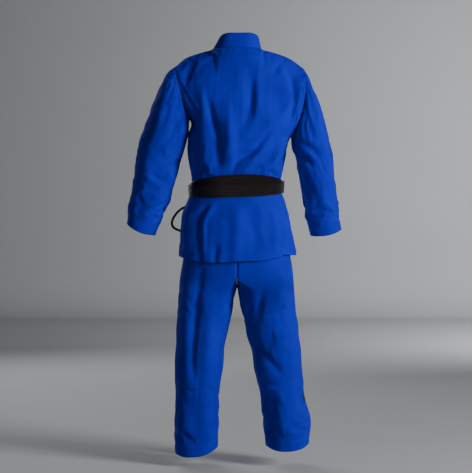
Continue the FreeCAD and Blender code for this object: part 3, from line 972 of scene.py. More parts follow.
OUTLINE = Outline()
SHOULDER_LINE = {
    1: ((0.084, -0.010), (0.131, -0.023), (0.179, -0.043), (0.205, -0.066)),
    -1: ((0.084, -0.010), (0.131, -0.022), (0.179, -0.041), (0.222, -0.072)),
}
ARMS = {1: LEFT_ARM, -1: RIGHT_ARM}
NECK_HALF, NECK_BACK = 0.084, 0.060            # half width of the neck's opening, and its depth behind
WRAP_TURN = -0.190                             # level where a front's edge crosses the middle
WRAP_SLOPE = math.tan(math.radians(21))        # how far that edge leans
BAND = 0.050                                   # width of the band


def edge_points(parts: list[Array], count: int) -> Array:
    """Join runs of points into one edge and space its points evenly."""
    line = np.concatenate(parts)
    keys = np.arange(len(line))
    at = spaced(line, count)
    return np.stack([np.interp(at, keys, line[:, k]) for k in range(3)], axis=1)


def side_edge(sign: int, rear: bool, low: float, count: int) -> Array:
    """A panel's outer edge: half of the armhole, from its top to the armpit, then the side seam."""
    angle = np.linspace(0, math.pi, 90) * (1 if rear else -1)
    hole = ARMS[sign][0].ring(angle, sign)
    levels = np.linspace(hole[-1, 2], low, 60)[1:]
    width = OUTLINE.width(levels, sign)
    off = abs(hole[-1, 0]) - OUTLINE.width(hole[-1, 2], sign)
    width += off * smoothstep(1 - (hole[-1, 2] - levels) / 0.03)
    seam = np.stack([sign * width, 0 * levels, levels], axis=1)
    return edge_points([hole, seam], count)


def seam_of_band(sign: int, low: float, count: int, inset: float) -> Array:
    """The edge of a front panel that its band is sewn to, from the side of the neck to the belt.

    It runs down the neck's side and then straight, at the wrap's slant, over the chest's outline.
    """
    start = np.array([(0.084, 0.0, -0.010), (0.0865, -0.030, -0.030), (0.087, -0.056, -0.060)])
    levels = np.linspace(-0.095, low, 60)
    line = (levels - WRAP_TURN) * WRAP_SLOPE + BAND / math.cos(math.atan(WRAP_SLOPE))
    line -= 0.004 * smoothstep(1 - (-0.095 - levels) / 0.06)
    run = np.stack([line, front_surface(line, levels, inset), levels], axis=1)
    whole = np.concatenate([start, run])
    keys = np.arange(len(whole))
    smooth = curve_through(spaced(whole, 200), keys, whole)
    smooth[:, 0] *= sign
    return edge_points([smooth], count)


def front_surface(across: Array, level: Array, inset: float) -> Array:
    """Depth of the chest's outline at a place: minus b times (1 - (x/a)^n)^(1/n)."""
    half = np.where(across > 0, OUTLINE.width(level, 1), OUTLINE.width(level, -1))
    share = np.clip(np.abs(across) / half, 0, 0.999)
    return -(OUTLINE.depth(level, False) - inset) * (1 - share ** ROUNDNESS) ** (1 / ROUNDNESS)


def panel(first: Array, last: Array, top: Array, rear: bool, inset: float,
          round_share: float = 0.22) -> Array:
    """A body panel between two edges, hanging from its top edge.

    Each row is part of an outline, x = a sin^p and y = b cos^p of an angle that runs evenly between
    the two edges. The rows nearest the top are quadratic curves from the top edge, which rounds the
    shoulder. What is left over at the edges is spread over the near columns.

    Args:
        first: the edge at the low end of the columns, rows by 3.
        last: the other edge.
        top: the top edge, columns by 3.
        rear: True for the back, False for the front.
        inset: how far it lies inside the outline.
        round_share: the share of the rows that round the shoulder.

    Returns:
        The panel's grid.
    """
    rows, columns = len(first), len(top)
    u = np.linspace(0, 1, columns)[None, :]
    way = 1 if rear else -1
    middle = np.linspace(top[columns // 2, 2], (first[-1, 2] + last[-1, 2]) / 2, rows)[:, None]
    near, far = smoothstep(1 - u / 0.4), smoothstep(1 - (1 - u) / 0.4)
    level = middle + (first[:, 2:3] - middle) * near + (last[:, 2:3] - middle) * far
    ends = []
    for edge in (first, last):
        side = np.where(edge[:, 0] > 0, 1, -1)
        half = np.where(side > 0, OUTLINE.width(edge[:, 2], 1), OUTLINE.width(edge[:, 2], -1))
        ends.append(way * side * np.arcsin(np.clip(np.abs(edge[:, 0]) / half, 0, 1) ** (1 / ROUND)))
    angle = ends[0][:, None] * (1 - u) + ends[1][:, None] * u
    across = way * power(np.sin(angle), ROUND)
    half = np.where(across > 0, OUTLINE.width(level, 1), OUTLINE.width(level, -1))
    deep = OUTLINE.depth(level, rear) - inset
    body = np.stack([half * across, way * deep * np.abs(np.cos(angle)) ** ROUND, level], axis=2)
    turn = int(rows * round_share)
    s = np.linspace(0, 1, turn + 1)[:, None, None]
    low = body[turn][None]
    bend = top + (low[0] - top) * np.array([0.45, 0.80, 0.14])
    body[:turn + 1] = (1 - s) ** 2 * top[None] + 2 * s * (1 - s) * bend[None] + s * s * low
    body += (first - body[:, 0])[:, None] * smoothstep(1 - u / 0.16)[..., None]
    body += (last - body[:, -1])[:, None] * smoothstep(1 - (1 - u) / 0.16)[..., None]
    body[0] = top
    return body


@dataclass(frozen=True)
class JacketBody:
    """The jacket's back, its two wrapped fronts and the band that edges them.

    Attributes:
        low: where the cloth ends, under the belt.
        layer: how far the under front lies inside the outer one.
        thick: thickness of the cloth.
        rows: points down a panel.
        columns: points across the back.
        back_folds, left_folds, right_folds: the folds in each panel.
    """

    low: float = -0.492
    layer: float = 0.0055
    thick: float = 0.0028
    rows: int = 190
    columns: int = 200
    back_folds: tuple[Fold, ...] = (
        Fold(((-0.049, -0.105), (-0.050, -0.18), (-0.040, -0.235), (-0.014, -0.290)), 0.018, -0.0105),
        Fold(((-0.068, -0.10), (-0.066, -0.19), (-0.058, -0.25)), 0.014, 0.009),
        Fold(((-0.110, -0.285), (-0.062, -0.350), (-0.006, -0.385), (0.018, -0.430)), 0.011, -0.015),
        Fold(((-0.100, -0.325), (-0.052, -0.390), (-0.016, -0.440)), 0.014, 0.0075),
        Fold(((0.104, -0.165), (0.084, -0.235), (0.064, -0.305), (0.062, -0.42)), 0.013, -0.015),
        Fold(((0.128, -0.13), (0.110, -0.20), (0.106, -0.30), (0.098, -0.42)), 0.016, 0.009),
        Fold(((0.030, -0.20), (0.024, -0.30), (0.022, -0.41)), 0.020, 0.0135),
        Fold(((0.142, -0.235), (0.140, -0.33), (0.134, -0.44)), 0.011, -0.0135),
        Fold(((0.142, -0.045), (0.166, -0.10), (0.178, -0.16)), 0.012, -0.009),
        Fold(((-0.154, -0.055), (-0.186, -0.12), (-0.185, -0.22), (-0.176, -0.28)), 0.012, -0.012),
        Fold(((-0.152, -0.052), (-0.122, -0.100)), 0.012, -0.006),
        Fold(((-0.150, -0.30), (-0.128, -0.37), (-0.112, -0.43)), 0.012, 0.009),
        Fold(((0.000, -0.060), (-0.010, -0.110), (-0.004, -0.160)), 0.022, 0.0045),
    )
    left_folds: tuple[Fold, ...] = (
        Fold(((0.15, -0.10), (0.11, -0.19), (0.06, -0.29), (-0.02, -0.40)), 0.018, -0.007, front=True),
        Fold(((0.15, -0.25), (0.11, -0.33), (0.05, -0.42)), 0.015, -0.008, front=True),
        Fold(((0.13, -0.30), (0.09, -0.38), (0.07, -0.45)), 0.015, 0.007, front=True),
        Fold(((0.17, -0.09), (0.165, -0.16), (0.15, -0.23)), 0.014, -0.006, front=True),
    )
    right_folds: tuple[Fold, ...] = (
        Fold(((-0.15, -0.10), (-0.12, -0.19), (-0.09, -0.28)), 0.018, -0.007, front=True),
        Fold(((-0.16, -0.30), (-0.13, -0.37), (-0.11, -0.44)), 0.014, -0.006, front=True),
        Fold(((-0.19, -0.10), (-0.19, -0.18), (-0.17, -0.26)), 0.014, -0.006, front=True),
    )

    def shoulder_row(self, across: Array) -> Array:
        """The top edge: the neck's back half between the shoulders' seams."""
        level = np.empty_like(across)
        for sign in (1, -1):
            side = across * sign >= 0
            table = np.array(SHOULDER_LINE[sign])
            level[side] = curve_through(np.abs(across[side]), table[:, 0], table[:, 1])
        level[np.abs(across) < NECK_HALF] = -0.009
        depth = NECK_BACK * np.sqrt(np.clip(1 - (across / NECK_HALF) ** 2, 0, 1))
        return np.stack([across, depth, level], axis=1)

    def back(self) -> Array:
        """The back panel's grid, from the wearer's right to the left."""
        right = side_edge(-1, True, self.low, self.rows)
        left = side_edge(1, True, self.low, self.rows)
        u = np.linspace(-1, 1, self.columns)
        across = np.where(u > 0, left[0, 0], -right[0, 0]) * np.sin(u * math.pi / 2)
        grid = panel(right, left, self.shoulder_row(across), True, 0.0)
        quiet = self.quiet(grid)
        lift = (crinkle(grid, 11, 0.085, 0.0018) + crinkle(grid, 12, 0.035, 0.0008)) * quiet
        moved = folded(grid, self.back_folds, False, lift) - grid
        grid = grid + moved * quiet[..., None]
        return Drape(slack=0.014, limit=0.005).settle("back", grid, 1 - quiet)

    def front(self, sign: int) -> Array:
        """A front panel's grid; the wearer's left one lies outside."""
        inset = 0.0 if sign > 0 else self.layer
        side = side_edge(sign, False, self.low, self.rows)
        seam = seam_of_band(sign, self.low, self.rows, inset)
        count = int(self.columns * 0.8)
        across = np.linspace(side[0, 0], seam[0, 0], count)
        top = self.shoulder_row(across)
        top[:, 1] = 0.0
        ends = (side, seam) if sign > 0 else (seam, side)
        grid = panel(*ends, top if sign > 0 else top[::-1], False, inset)
        quiet = self.quiet(grid)
        seed = 21 if sign > 0 else 31
        lift = (crinkle(grid, seed, 0.085, 0.0018) + crinkle(grid, seed + 1, 0.035, 0.0008)) * quiet
        folds = self.left_folds if sign > 0 else self.right_folds
        return grid + (folded(grid, folds, False, lift) - grid) * quiet[..., None]

    def quiet(self, grid: Array) -> Array:
        """1 inside a panel, falling to 0 at its edges, where it is sewn or held by the belt."""
        rows, columns = grid.shape[:2]
        v, u = np.linspace(0, 1, rows)[:, None], np.linspace(0, 1, columns)[None, :]
        return (smoothstep(u / 0.05) * smoothstep((1 - u) / 0.05)
                * smoothstep(v / 0.06) * smoothstep((1 - v) / 0.13))

    def band_stations(self, sign: int, seam: Array, stop: float) -> tuple[Array, Array]:
        """The band's sewn edge and free edge, from the middle of the back down one front.

        Args:
            sign: 1 for the wearer's left.
            seam: the front panel's edge that it is sewn to.
            stop: the level where it ends.

        Returns:
            The two edges, one row a station.
        """
        neck = np.array([(0.0, 0.060, -0.009), (0.050, 0.0485, -0.009), (0.078, 0.022, -0.010)])
        lean = 0.0 if sign > 0 else 0.016
        rim = np.array([(0.0, 0.049, 0.042), (0.036 + lean, 0.043, 0.0415), (0.056 + lean, 0.019, 0.035)])
        low = np.array([(0.0865, -0.024, -0.026), (0.087, -0.056, -0.060)])
        low_rim = np.array([(0.055 + lean, -0.028, 0.008), (0.047 + lean * 0.6, -0.066, -0.034)])
        run = seam[(seam[:, 2] < -0.092) & (seam[:, 2] > stop)][::8].copy()
        run[:, 0] *= sign
        slant = math.atan(WRAP_SLOPE)
        free = run + np.array([-BAND * math.cos(slant), 0.0, BAND * math.sin(slant)])
        inset = 0.0 if sign > 0 else self.layer
        free[:, 1] = front_surface(free[:, 0], free[:, 2], inset)
        one, two = np.concatenate([neck, low, run]), np.concatenate([rim, low_rim, free])
        for edge in (one, two):
            edge[:, 0] *= sign
        return one, two

    def band(self, left: Array, right: Array) -> tuple[Array, Array]:
        """The band as one closed profile carried along its path.

        The profile is a flat rounded shape: the signed square root of the cosine across, and of the
        sine through the thickness, which dips a little at each row of stitching.

        Args:
            left: sewn edge of the left front.
            right: sewn edge of the right front.

        Returns:
            The band's grid, and its outward normals.
        """
        left_sewn, left_free = self.band_stations(1, left, self.low)
        right_sewn, right_free = self.band_stations(-1, right, -0.300)
        sewn = np.concatenate([right_sewn[:0:-1], left_sewn])
        free = np.concatenate([right_free[:0:-1], left_free])
        run = np.concatenate([[0], np.cumsum(np.linalg.norm(np.diff((sewn + free) / 2, axis=0), axis=1))])
        at = np.linspace(0, run[-1], int(run[-1] / 0.0028))
        sewn, free = curve_through(at, run, sewn), curve_through(at, run, free)
        middle, wide = (sewn + free) / 2, (free - sewn) / 2
        along = np.gradient(middle, axis=0)
        out = np.cross(along, wide)
        out /= np.linalg.norm(out, axis=1, keepdims=True)
        turn = np.linspace(0, CLOSED, 61)
        across = power(np.cos(turn), 0.55)
        dip = 1 - 0.16 * np.abs(np.cos(across * 2.5 * math.pi)) ** 8
        through = power(np.sin(turn), 0.45) * dip
        lift = 0.0037 + 0.0032 * through
        grid = middle[:, None] + wide[:, None] * across[None, :, None] + out[:, None] * lift[None, :, None]
        return grid, out

    def build(self, wardrobe: Wardrobe) -> list[Piece]:
        """Make and dress the body's pieces.

        Args:
            wardrobe: the materials.

        Returns:
            The back, the fronts, the band and the stitching.
        """
        hang = Hang("jacket")
        back = self.back()
        fronts = {1: self.front(1), -1: self.front(-1)}
        pieces = []
        grids = {"back": back, "left_front": fronts[1], "right_front": fronts[-1]}
        for name, grid in grids.items():
            piece = cut(f"jacket_{name}", grid, self.thick, wardrobe.jacket, "jacket_cloth")
            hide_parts(f"{name}_panel")
            pieces.append(piece)
        seams = {1: fronts[1][:, -1], -1: fronts[-1][:, 0]}
        grid, out = self.band(seams[1], seams[-1])
        band = grid_object("jacket_band", grid, merge=True)
        cap_ends(band)
        dress(band, wardrobe.jacket)
        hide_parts("left_lapel", "right_lapel", "collar_cover", "collar_core")
        across = power(np.cos(np.linspace(0, CLOSED, 61)), 0.55)[:31]
        columns = [int(np.abs(across - k).argmin()) for k in (-0.86, -0.5, 0.0, 0.5, 0.86)]
        lines = [(grid[:, c], out) for c in columns]
        sewing = sewn("band_stitching", lines, wardrobe, "jacket_cloth")
        normal = normals_of(back, False)
        seam_lines = [(back[:, c], normal[:, c]) for c in (3, self.columns - 4)]
        body_sewing = sewn("side_stitching", seam_lines, wardrobe, "jacket_cloth")
        pieces += [band, sewing, body_sewing]
        for piece in pieces:
            hang.carry(piece)
        return pieces


def cap_ends(piece: Piece) -> None:
    """Close the open ends of a tube with flat faces."""
    mesh = bmesh.new()
    mesh.from_mesh(piece.data)
    bmesh.ops.holes_fill(mesh, edges=[e for e in mesh.edges if e.is_boundary], sides=0)
    mesh.to_mesh(piece.data)
    mesh.free()


# ---------------------------------------------------------------- belt

@dataclass(frozen=True)
class Belt:
    """The belt: two turns that overlap at the back, a knot and two tails in front.

    Attributes:
        wide: width of the webbing.
        thick: its thickness.
        ribs: rows of sewing along it.
    """

    wide: float = 0.0405
    thick: float = 0.0042
    ribs: int = 9

    def profile(self) -> tuple[Array, Array]:
        """Across and through values of the webbing's closed outline, ribbed between its stitching."""
        turn = np.linspace(0, CLOSED, 109)
        across = power(np.cos(turn), 0.5)
        rib = 0.80 + 0.20 * np.abs(np.sin((across + 1) / 2 * math.pi * self.ribs)) ** 0.7
        return across * self.wide / 2, power(np.sin(turn), 0.35) * rib * self.thick / 2

    def sweep(self, path: Array, up: Array, closed: bool) -> Array:
        """Carry the outline along a path.

        Args:
            path: the middle of the webbing.
            up: its width's direction at each point.
            closed: True for a turn round the waist.

        Returns:
            The webbing's grid.
        """
        if closed:
            step = np.roll(path[:-1], -1, axis=0) - np.roll(path[:-1], 1, axis=0)
            along = np.concatenate([step, step[:1]])
        else:
            along = np.gradient(path, axis=0)
        out = np.cross(up, along)
        out /= np.linalg.norm(out, axis=1, keepdims=True)
        up = up / np.linalg.norm(up, axis=1, keepdims=True)
        across, through = self.profile()
        return path[:, None] + up[:, None] * across[None, :, None] + out[:, None] * through[None, :, None]

    def turn(self, gap: float, lean_back: float, lean_front: float) -> Array:
        """One turn: the waist's outline, grown by the gap, at a level that leans with the angle."""
        angle = np.linspace(0, CLOSED, 361)
        sine, cosine = np.sin(angle), np.cos(angle)
        side = np.where(sine > 0, OUTLINE.width(-0.47, 1), OUTLINE.width(-0.47, -1)) + 0.0035
        x = (side + gap) * power(sine, ROUND)
        y = (0.1150 + gap) * power(cosine, ROUND)
        lean = np.where(cosine > 0, lean_back, lean_front)
        z = -0.4768 - 0.0052 * sine + lean * cosine * np.abs(cosine) ** 0.3
        z += 0.0008 * np.sin(3 * angle + gap * 900)
        path = np.stack([x, y, z], axis=1)
        tip = np.stack([0.10 * sine, 0.10 * cosine, np.ones_like(x)], axis=1)
        return self.sweep(path, tip * np.array([0.6, 0.6, 1.0]), True)

    def strap(self, points: list[Point], up: list[Point]) -> Array:
        """A length of webbing through a few points, with its width's direction at each."""
        knots = np.arange(len(points))
        at = np.linspace(0, knots[-1], 90)
        path, way = (curve_through(at, knots, np.array(values)) for values in (points, up))
        return self.sweep(path, way, False)

    def build(self, wardrobe: Wardrobe) -> list[Piece]:
        """Make and dress the belt's pieces.

        Args:
            wardrobe: the materials.

        Returns:
            The turns, the knot's folds and the tails.
        """
        low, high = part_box("belt_knot")
        y, z = (low[1] + high[1]) / 2, (low[2] + high[2]) / 2
        grids = {
            "belt_upper_turn": (self.turn(0.0022, 0.0215, -0.006), "jacket", ["belt_inner_turn"]),
            "belt_lower_turn": (self.turn(0.0080, -0.0120, 0.006), "jacket", ["belt_outer_turn"]),
            "knot_over": (self.strap(
                [(-0.046, y + 0.012, z + 0.012), (-0.020, y - 0.006, z + 0.008),
                 (0.004, y - 0.012, z - 0.001), (0.026, y - 0.006, z - 0.010), (0.040, y + 0.010, z - 0.016)],
                [(0.35, 0.0, 1.0)] * 5), "jacket", ["belt_knot"]),
            "knot_under": (self.strap(
                [(0.046, y + 0.012, z + 0.012), (0.024, y, z + 0.009), (0.000, y - 0.002, z + 0.001),
                 (-0.024, y, z - 0.008), (-0.038, y + 0.010, z - 0.014)],
                [(-0.35, 0.0, 1.0)] * 5), "jacket", []),
            "knot_wrap": (self.strap(
                [(0.004, y + 0.014, z - 0.026), (0.006, y - 0.008, z - 0.021), (0.000, y - 0.014, z),
                 (-0.006, y - 0.010, z + 0.022), (-0.004, y + 0.014, z + 0.030)],
                [(1.0, 0.0, 0.15)] * 5), "jacket", []),
        }
        pieces = []
        for name, (grid, body, cad) in grids.items():
            piece = grid_object(name, grid, merge=True)
            if "turn" not in name:
                cap_ends(piece)
            dress(piece, wardrobe.webbing)
            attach(piece, body)
            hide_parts(*cad)
            pieces.append(piece)
        for side, sign in (("left", 1), ("right", -1)):
            pieces.append(self.tail(side, sign, wardrobe))
        return pieces

    def tail(self, side: str, sign: int, wardrobe: Wardrobe) -> Piece:
        """One hanging tail, which leans outward a little and curls at its end."""
        low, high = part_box(f"belt_{side}_tail")
        x, top = sign * 0.012, high[2] + 0.004
        points = [(x, high[1] - 0.004, top), (x + sign * 0.014, high[1] - 0.006, top - 0.050),
                  (x + sign * 0.030, (low[1] + high[1]) / 2 - 0.003, top - 0.130),
                  (x + sign * 0.040, low[1] + 0.004, top - 0.190),
                  (x + sign * 0.046, low[1] - 0.001, low[2] + 0.004)]
        up = [(sign, 0.10 * sign, 0.22), (sign, -0.06, 0.24), (sign, 0.10, 0.20), (sign, 0.22, 0.16),
              (sign, 0.30, 0.12)]
        piece = grid_object(f"belt_{side}_tail_webbing", self.strap(points, up), merge=True)
        cap_ends(piece)
        dress(piece, wardrobe.webbing)
        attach(piece, f"belt_{side}_end")
        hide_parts(f"belt_{side}_tail")
        return piece


# ---------------------------------------------------------------- skirts

@dataclass(frozen=True)
class Skirts:
    """The jacket below the belt: the back skirt over two front ones, parted by the side vents.

    Attributes:
        top: where they start, under the belt.
        thick: thickness of the cloth.
        left, right, back, front: half widths and half depths, (level, size).
        back_hem: the back skirt's hem, (distance across, level).
        right_edge: the back skirt's edge by the right vent, (level, distance across).
        back_folds, front_folds: the folds in the skirts.
    """

    top: float = -0.484
    thick: float = 0.0028
    left: Pairs = (
        (-0.480, 0.151), (-0.502, 0.160), (-0.529, 0.171), (-0.553, 0.181), (-0.600, 0.189),
        (-0.654, 0.192), (-0.694, 0.195), (-0.725, 0.195))
    right: Pairs = (
        (-0.480, 0.149), (-0.502, 0.160), (-0.543, 0.173), (-0.583, 0.182), (-0.644, 0.194),
        (-0.687, 0.203), (-0.725, 0.205))
    back: Pairs = (
        (-0.480, 0.1135), (-0.502, 0.1165), (-0.550, 0.127), (-0.600, 0.135), (-0.725, 0.144))
    front: Pairs = (
        (-0.480, 0.1135), (-0.502, 0.1165), (-0.550, 0.126), (-0.600, 0.133), (-0.725, 0.143))
    back_hem: Pairs = (
        (0.200, -0.702), (0.182, -0.708), (0.072, -0.7235), (-0.007, -0.7190), (-0.096, -0.7150),
        (-0.147, -0.7040), (-0.200, -0.700))
    right_edge: Pairs = (
        (-0.480, -0.122), (-0.510, -0.127), (-0.553, -0.137), (-0.600, -0.155), (-0.623, -0.158),
        (-0.677, -0.155), (-0.725, -0.146))
    back_folds: tuple[Fold, ...] = (
        Fold(((0.052, -0.500), (0.080, -0.545), (0.104, -0.590), (0.106, -0.650), (0.108, -0.72)),
             0.010, 0.010, 0.35),
        Fold(((0.088, -0.500), (0.122, -0.590), (0.120, -0.700), (0.118, -0.74)), 0.010, -0.009),
        Fold(((0.066, -0.660), (0.070, -0.690), (0.074, -0.74)), 0.012, -0.007),
        Fold(((-0.100, -0.500), (-0.118, -0.56), (-0.128, -0.64), (-0.120, -0.73)), 0.016, 0.006),
        Fold(((-0.020, -0.495), (-0.050, -0.58), (-0.060, -0.68), (-0.058, -0.74)), 0.022, -0.006),
        Fold(((0.010, -0.495), (0.000, -0.60), (0.002, -0.74)), 0.024, 0.006),
        Fold(((0.150, -0.500), (0.158, -0.60), (0.160, -0.73)), 0.016, 0.007),
    )
    front_folds: tuple[Fold, ...] = (
        Fold(((0.11, -0.500), (0.125, -0.58), (0.13, -0.72)), 0.018, 0.008, front=True),
        Fold(((0.06, -0.500), (0.070, -0.58), (0.075, -0.72)), 0.018, -0.007, front=True),
        Fold(((-0.02, -0.500), (-0.03, -0.60), (-0.03, -0.72)), 0.022, 0.007, front=True),
        Fold(((-0.13, -0.500), (-0.14, -0.58), (-0.15, -0.72)), 0.018, 0.007, front=True),
    )

    def hung(self, angles: tuple[Array, Array], hem: Array, inset: float,
             columns: int) -> Array:
        """A hanging panel: x = a sin^p, y = b cos^p between two angles that change with the level.

        Args:
            angles: the panel's two edges at each of its rows.
            hem: level of the hem at each column.
            inset: how far it lies inside the skirt's outline.
            columns: points across it.

        Returns:
            The panel's grid.
        """
        rows = len(angles[0])
        u = np.linspace(0, 1, columns)[None, :]
        v = np.linspace(0, 1, rows)[:, None]
        level = self.top + (hem[None, :] - self.top) * v
        angle = angles[0][:, None] * (1 - u) + angles[1][:, None] * u
        sine, cosine = np.sin(angle), np.cos(angle)
        wide = np.where(sine > 0, profile(level, self.left), profile(level, self.right)) - inset
        deep = np.where(cosine > 0, profile(level, self.back), profile(level, self.front)) - inset
        return np.stack([wide * power(sine, ROUND), deep * power(cosine, ROUND), level], axis=2)

    def angle_at(self, across: Array, level: Array, rear: bool) -> Array:
        """The outline's angle where it is so far across."""
        wide = np.where(across > 0, profile(level, self.left), profile(level, self.right))
        angle = np.sign(across) * np.arcsin(np.clip(np.abs(across) / wide, 0, 1) ** (1 / ROUND))
        return angle if rear else math.pi - angle

    def build(self, wardrobe: Wardrobe) -> list[Piece]:
        """Make and dress the three panels with their hems and stitching.

        Args:
            wardrobe: the materials.

        Returns:
            Every piece of the skirts.
        """
        rows = 96
        v = np.linspace(0, 1, rows)
        level = self.top + (-0.715 - self.top) * v
        right_edge = self.angle_at(profile(level, self.right_edge), level, True)
        vent = np.full(rows, math.radians(84.5))
        count = 170
        guess = self.hung((right_edge, vent), np.full(count, -0.715), 0.0, count)
        hem = profile(guess[-1, :, 0], self.back_hem)
        back = self.hung((right_edge, vent), hem, 0.0, count)
        wrap = self.angle_at(np.interp(v, [0, 1], [-0.108, -0.088]), level, False)
        left = self.hung((np.full(rows, math.radians(95.5)), wrap), np.full(150, -0.704), 0.0, 150)
        under = self.angle_at(np.interp(v, [0, 1], [0.060, 0.075]), level, False)
        rear = 2 * math.pi + self.angle_at(np.interp(v, [0, 1], [-0.105, -0.120]), level, True)
        right = self.hung((under, rear), np.full(170, -0.702), 0.0050, 170)
        lift = np.linspace(0, 1, 170)[None, :] ** 3 * v[:, None]
        right[..., 2] += 0.004 * lift
        back_hang = Hang("jacket", "back_skirt", (0.0, 0.11, -0.500), (0.0, 0.11, -0.570))
        left_hang = Hang("jacket", "left_front_skirt", (0.0, -0.11, -0.500), (0.0, -0.11, -0.565))
        right_hang = Hang("jacket", "right_front_skirt", (0.0, -0.020, -0.500), (0.0, -0.090, -0.550))
        plans = (
            ("back_skirt", back, self.back_folds, back_hang, 41),
            ("left_front_skirt", left, self.front_folds, left_hang, 42),
            ("right_front_skirt", right, self.front_folds, right_hang, 43),
        )
        pieces = []
        for name, grid, folds, hang, seed in plans:
            pieces += self.panel_pieces(name, grid, folds, hang, seed, wardrobe)
        return pieces

    def panel_pieces(self, name: str, grid: Array, folds: tuple[Fold, ...], hang: Hang, seed: int,
                     wardrobe: Wardrobe) -> list[Piece]:
        """Fold, thicken, hem and stitch one panel.

        Args:
            name: the body's name, which the pieces take.
            grid: the smooth panel.
            folds: its folds.
            hang: what it moves with.
            seed: picks its wrinkles.
            wardrobe: the materials.

        Returns:
            The cloth, the hem's tape and the stitching.
        """
        rows = grid.shape[0]
        v = np.linspace(0, 1, rows)[:, None]
        free = smoothstep((v - 0.08) / 0.3)
        lift = crinkle(grid, seed, 0.070, 0.0012) + crinkle(grid, seed + 5, 0.030, 0.0006)
        grid = grid + (folded(grid, folds, False, lift) - grid) * free[..., None]
        if name == "back_skirt":
            edge = smoothstep(1 - np.linspace(0, 1, grid.shape[1]) / 0.07)[None, :] * free
            grid = grid + normals_of(grid, False) * (0.0035 * edge)[..., None]
        normal = normals_of(grid, False)
        hem_row = int(rows * 0.875)
        step = -0.0010 * np.exp(-((np.arange(rows) - hem_row) / 1.0) ** 2)
        grid = grid + normal * step[:, None, None]
        cloth = cut(f"{name}_cloth", grid, self.thick, wardrobe.jacket, "jacket_cloth")
        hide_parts(f"{name}_panel")
        facing = grid[hem_row:] - normal[hem_row:] * (self.thick + FACING_GAP)
        tape = cut(f"{name}_hem_facing", facing, TAPE, wardrobe.tape, "hem_tape")
        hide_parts(f"{name}_hem_tape")
        lines = [(grid[hem_row - 1], normal[hem_row - 1]), (grid[-3], normal[-3])]
        lines += [(grid[6:, c], normal[6:, c]) for c in (3, -4)]
        sewing = sewn(f"{name}_stitching", lines, wardrobe, "jacket_cloth")
        pieces = [cloth, tape, sewing]
        if name == "back_skirt":
            pieces += self.vent_patches(grid, normal, wardrobe)
        for piece in pieces:
            hang.carry(piece)
        return pieces

    def vent_patches(self, grid: Array, normal: Array, wardrobe: Wardrobe) -> list[Piece]:
        """Patches behind the tops of the vents: the panel's own surface, sunk past its thickness."""
        pieces = []
        for side, columns in (("right", slice(2, 17)), ("left", slice(-17, -2))):
            spot = grid[4:22, columns] - normal[4:22, columns] * (self.thick + 0.0016)
            piece = cut(f"{side}_vent_patch_cloth", spot, PATCH, wardrobe.tape, "patch_cloth")
            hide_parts(f"{side}_vent_patch")
            pieces.append(piece)
        return pieces


# ---------------------------------------------------------------- trousers

LEG_END = -1.37           # level that the grid's rows run down to, before the hem's slant
HEM_TOP = -1.335          # level of the hem's upper row of stitching


def row_at(level: Array, height: float) -> int:
    """The row whose level is nearest to a height."""
    return int(np.abs(level - height).argmin())


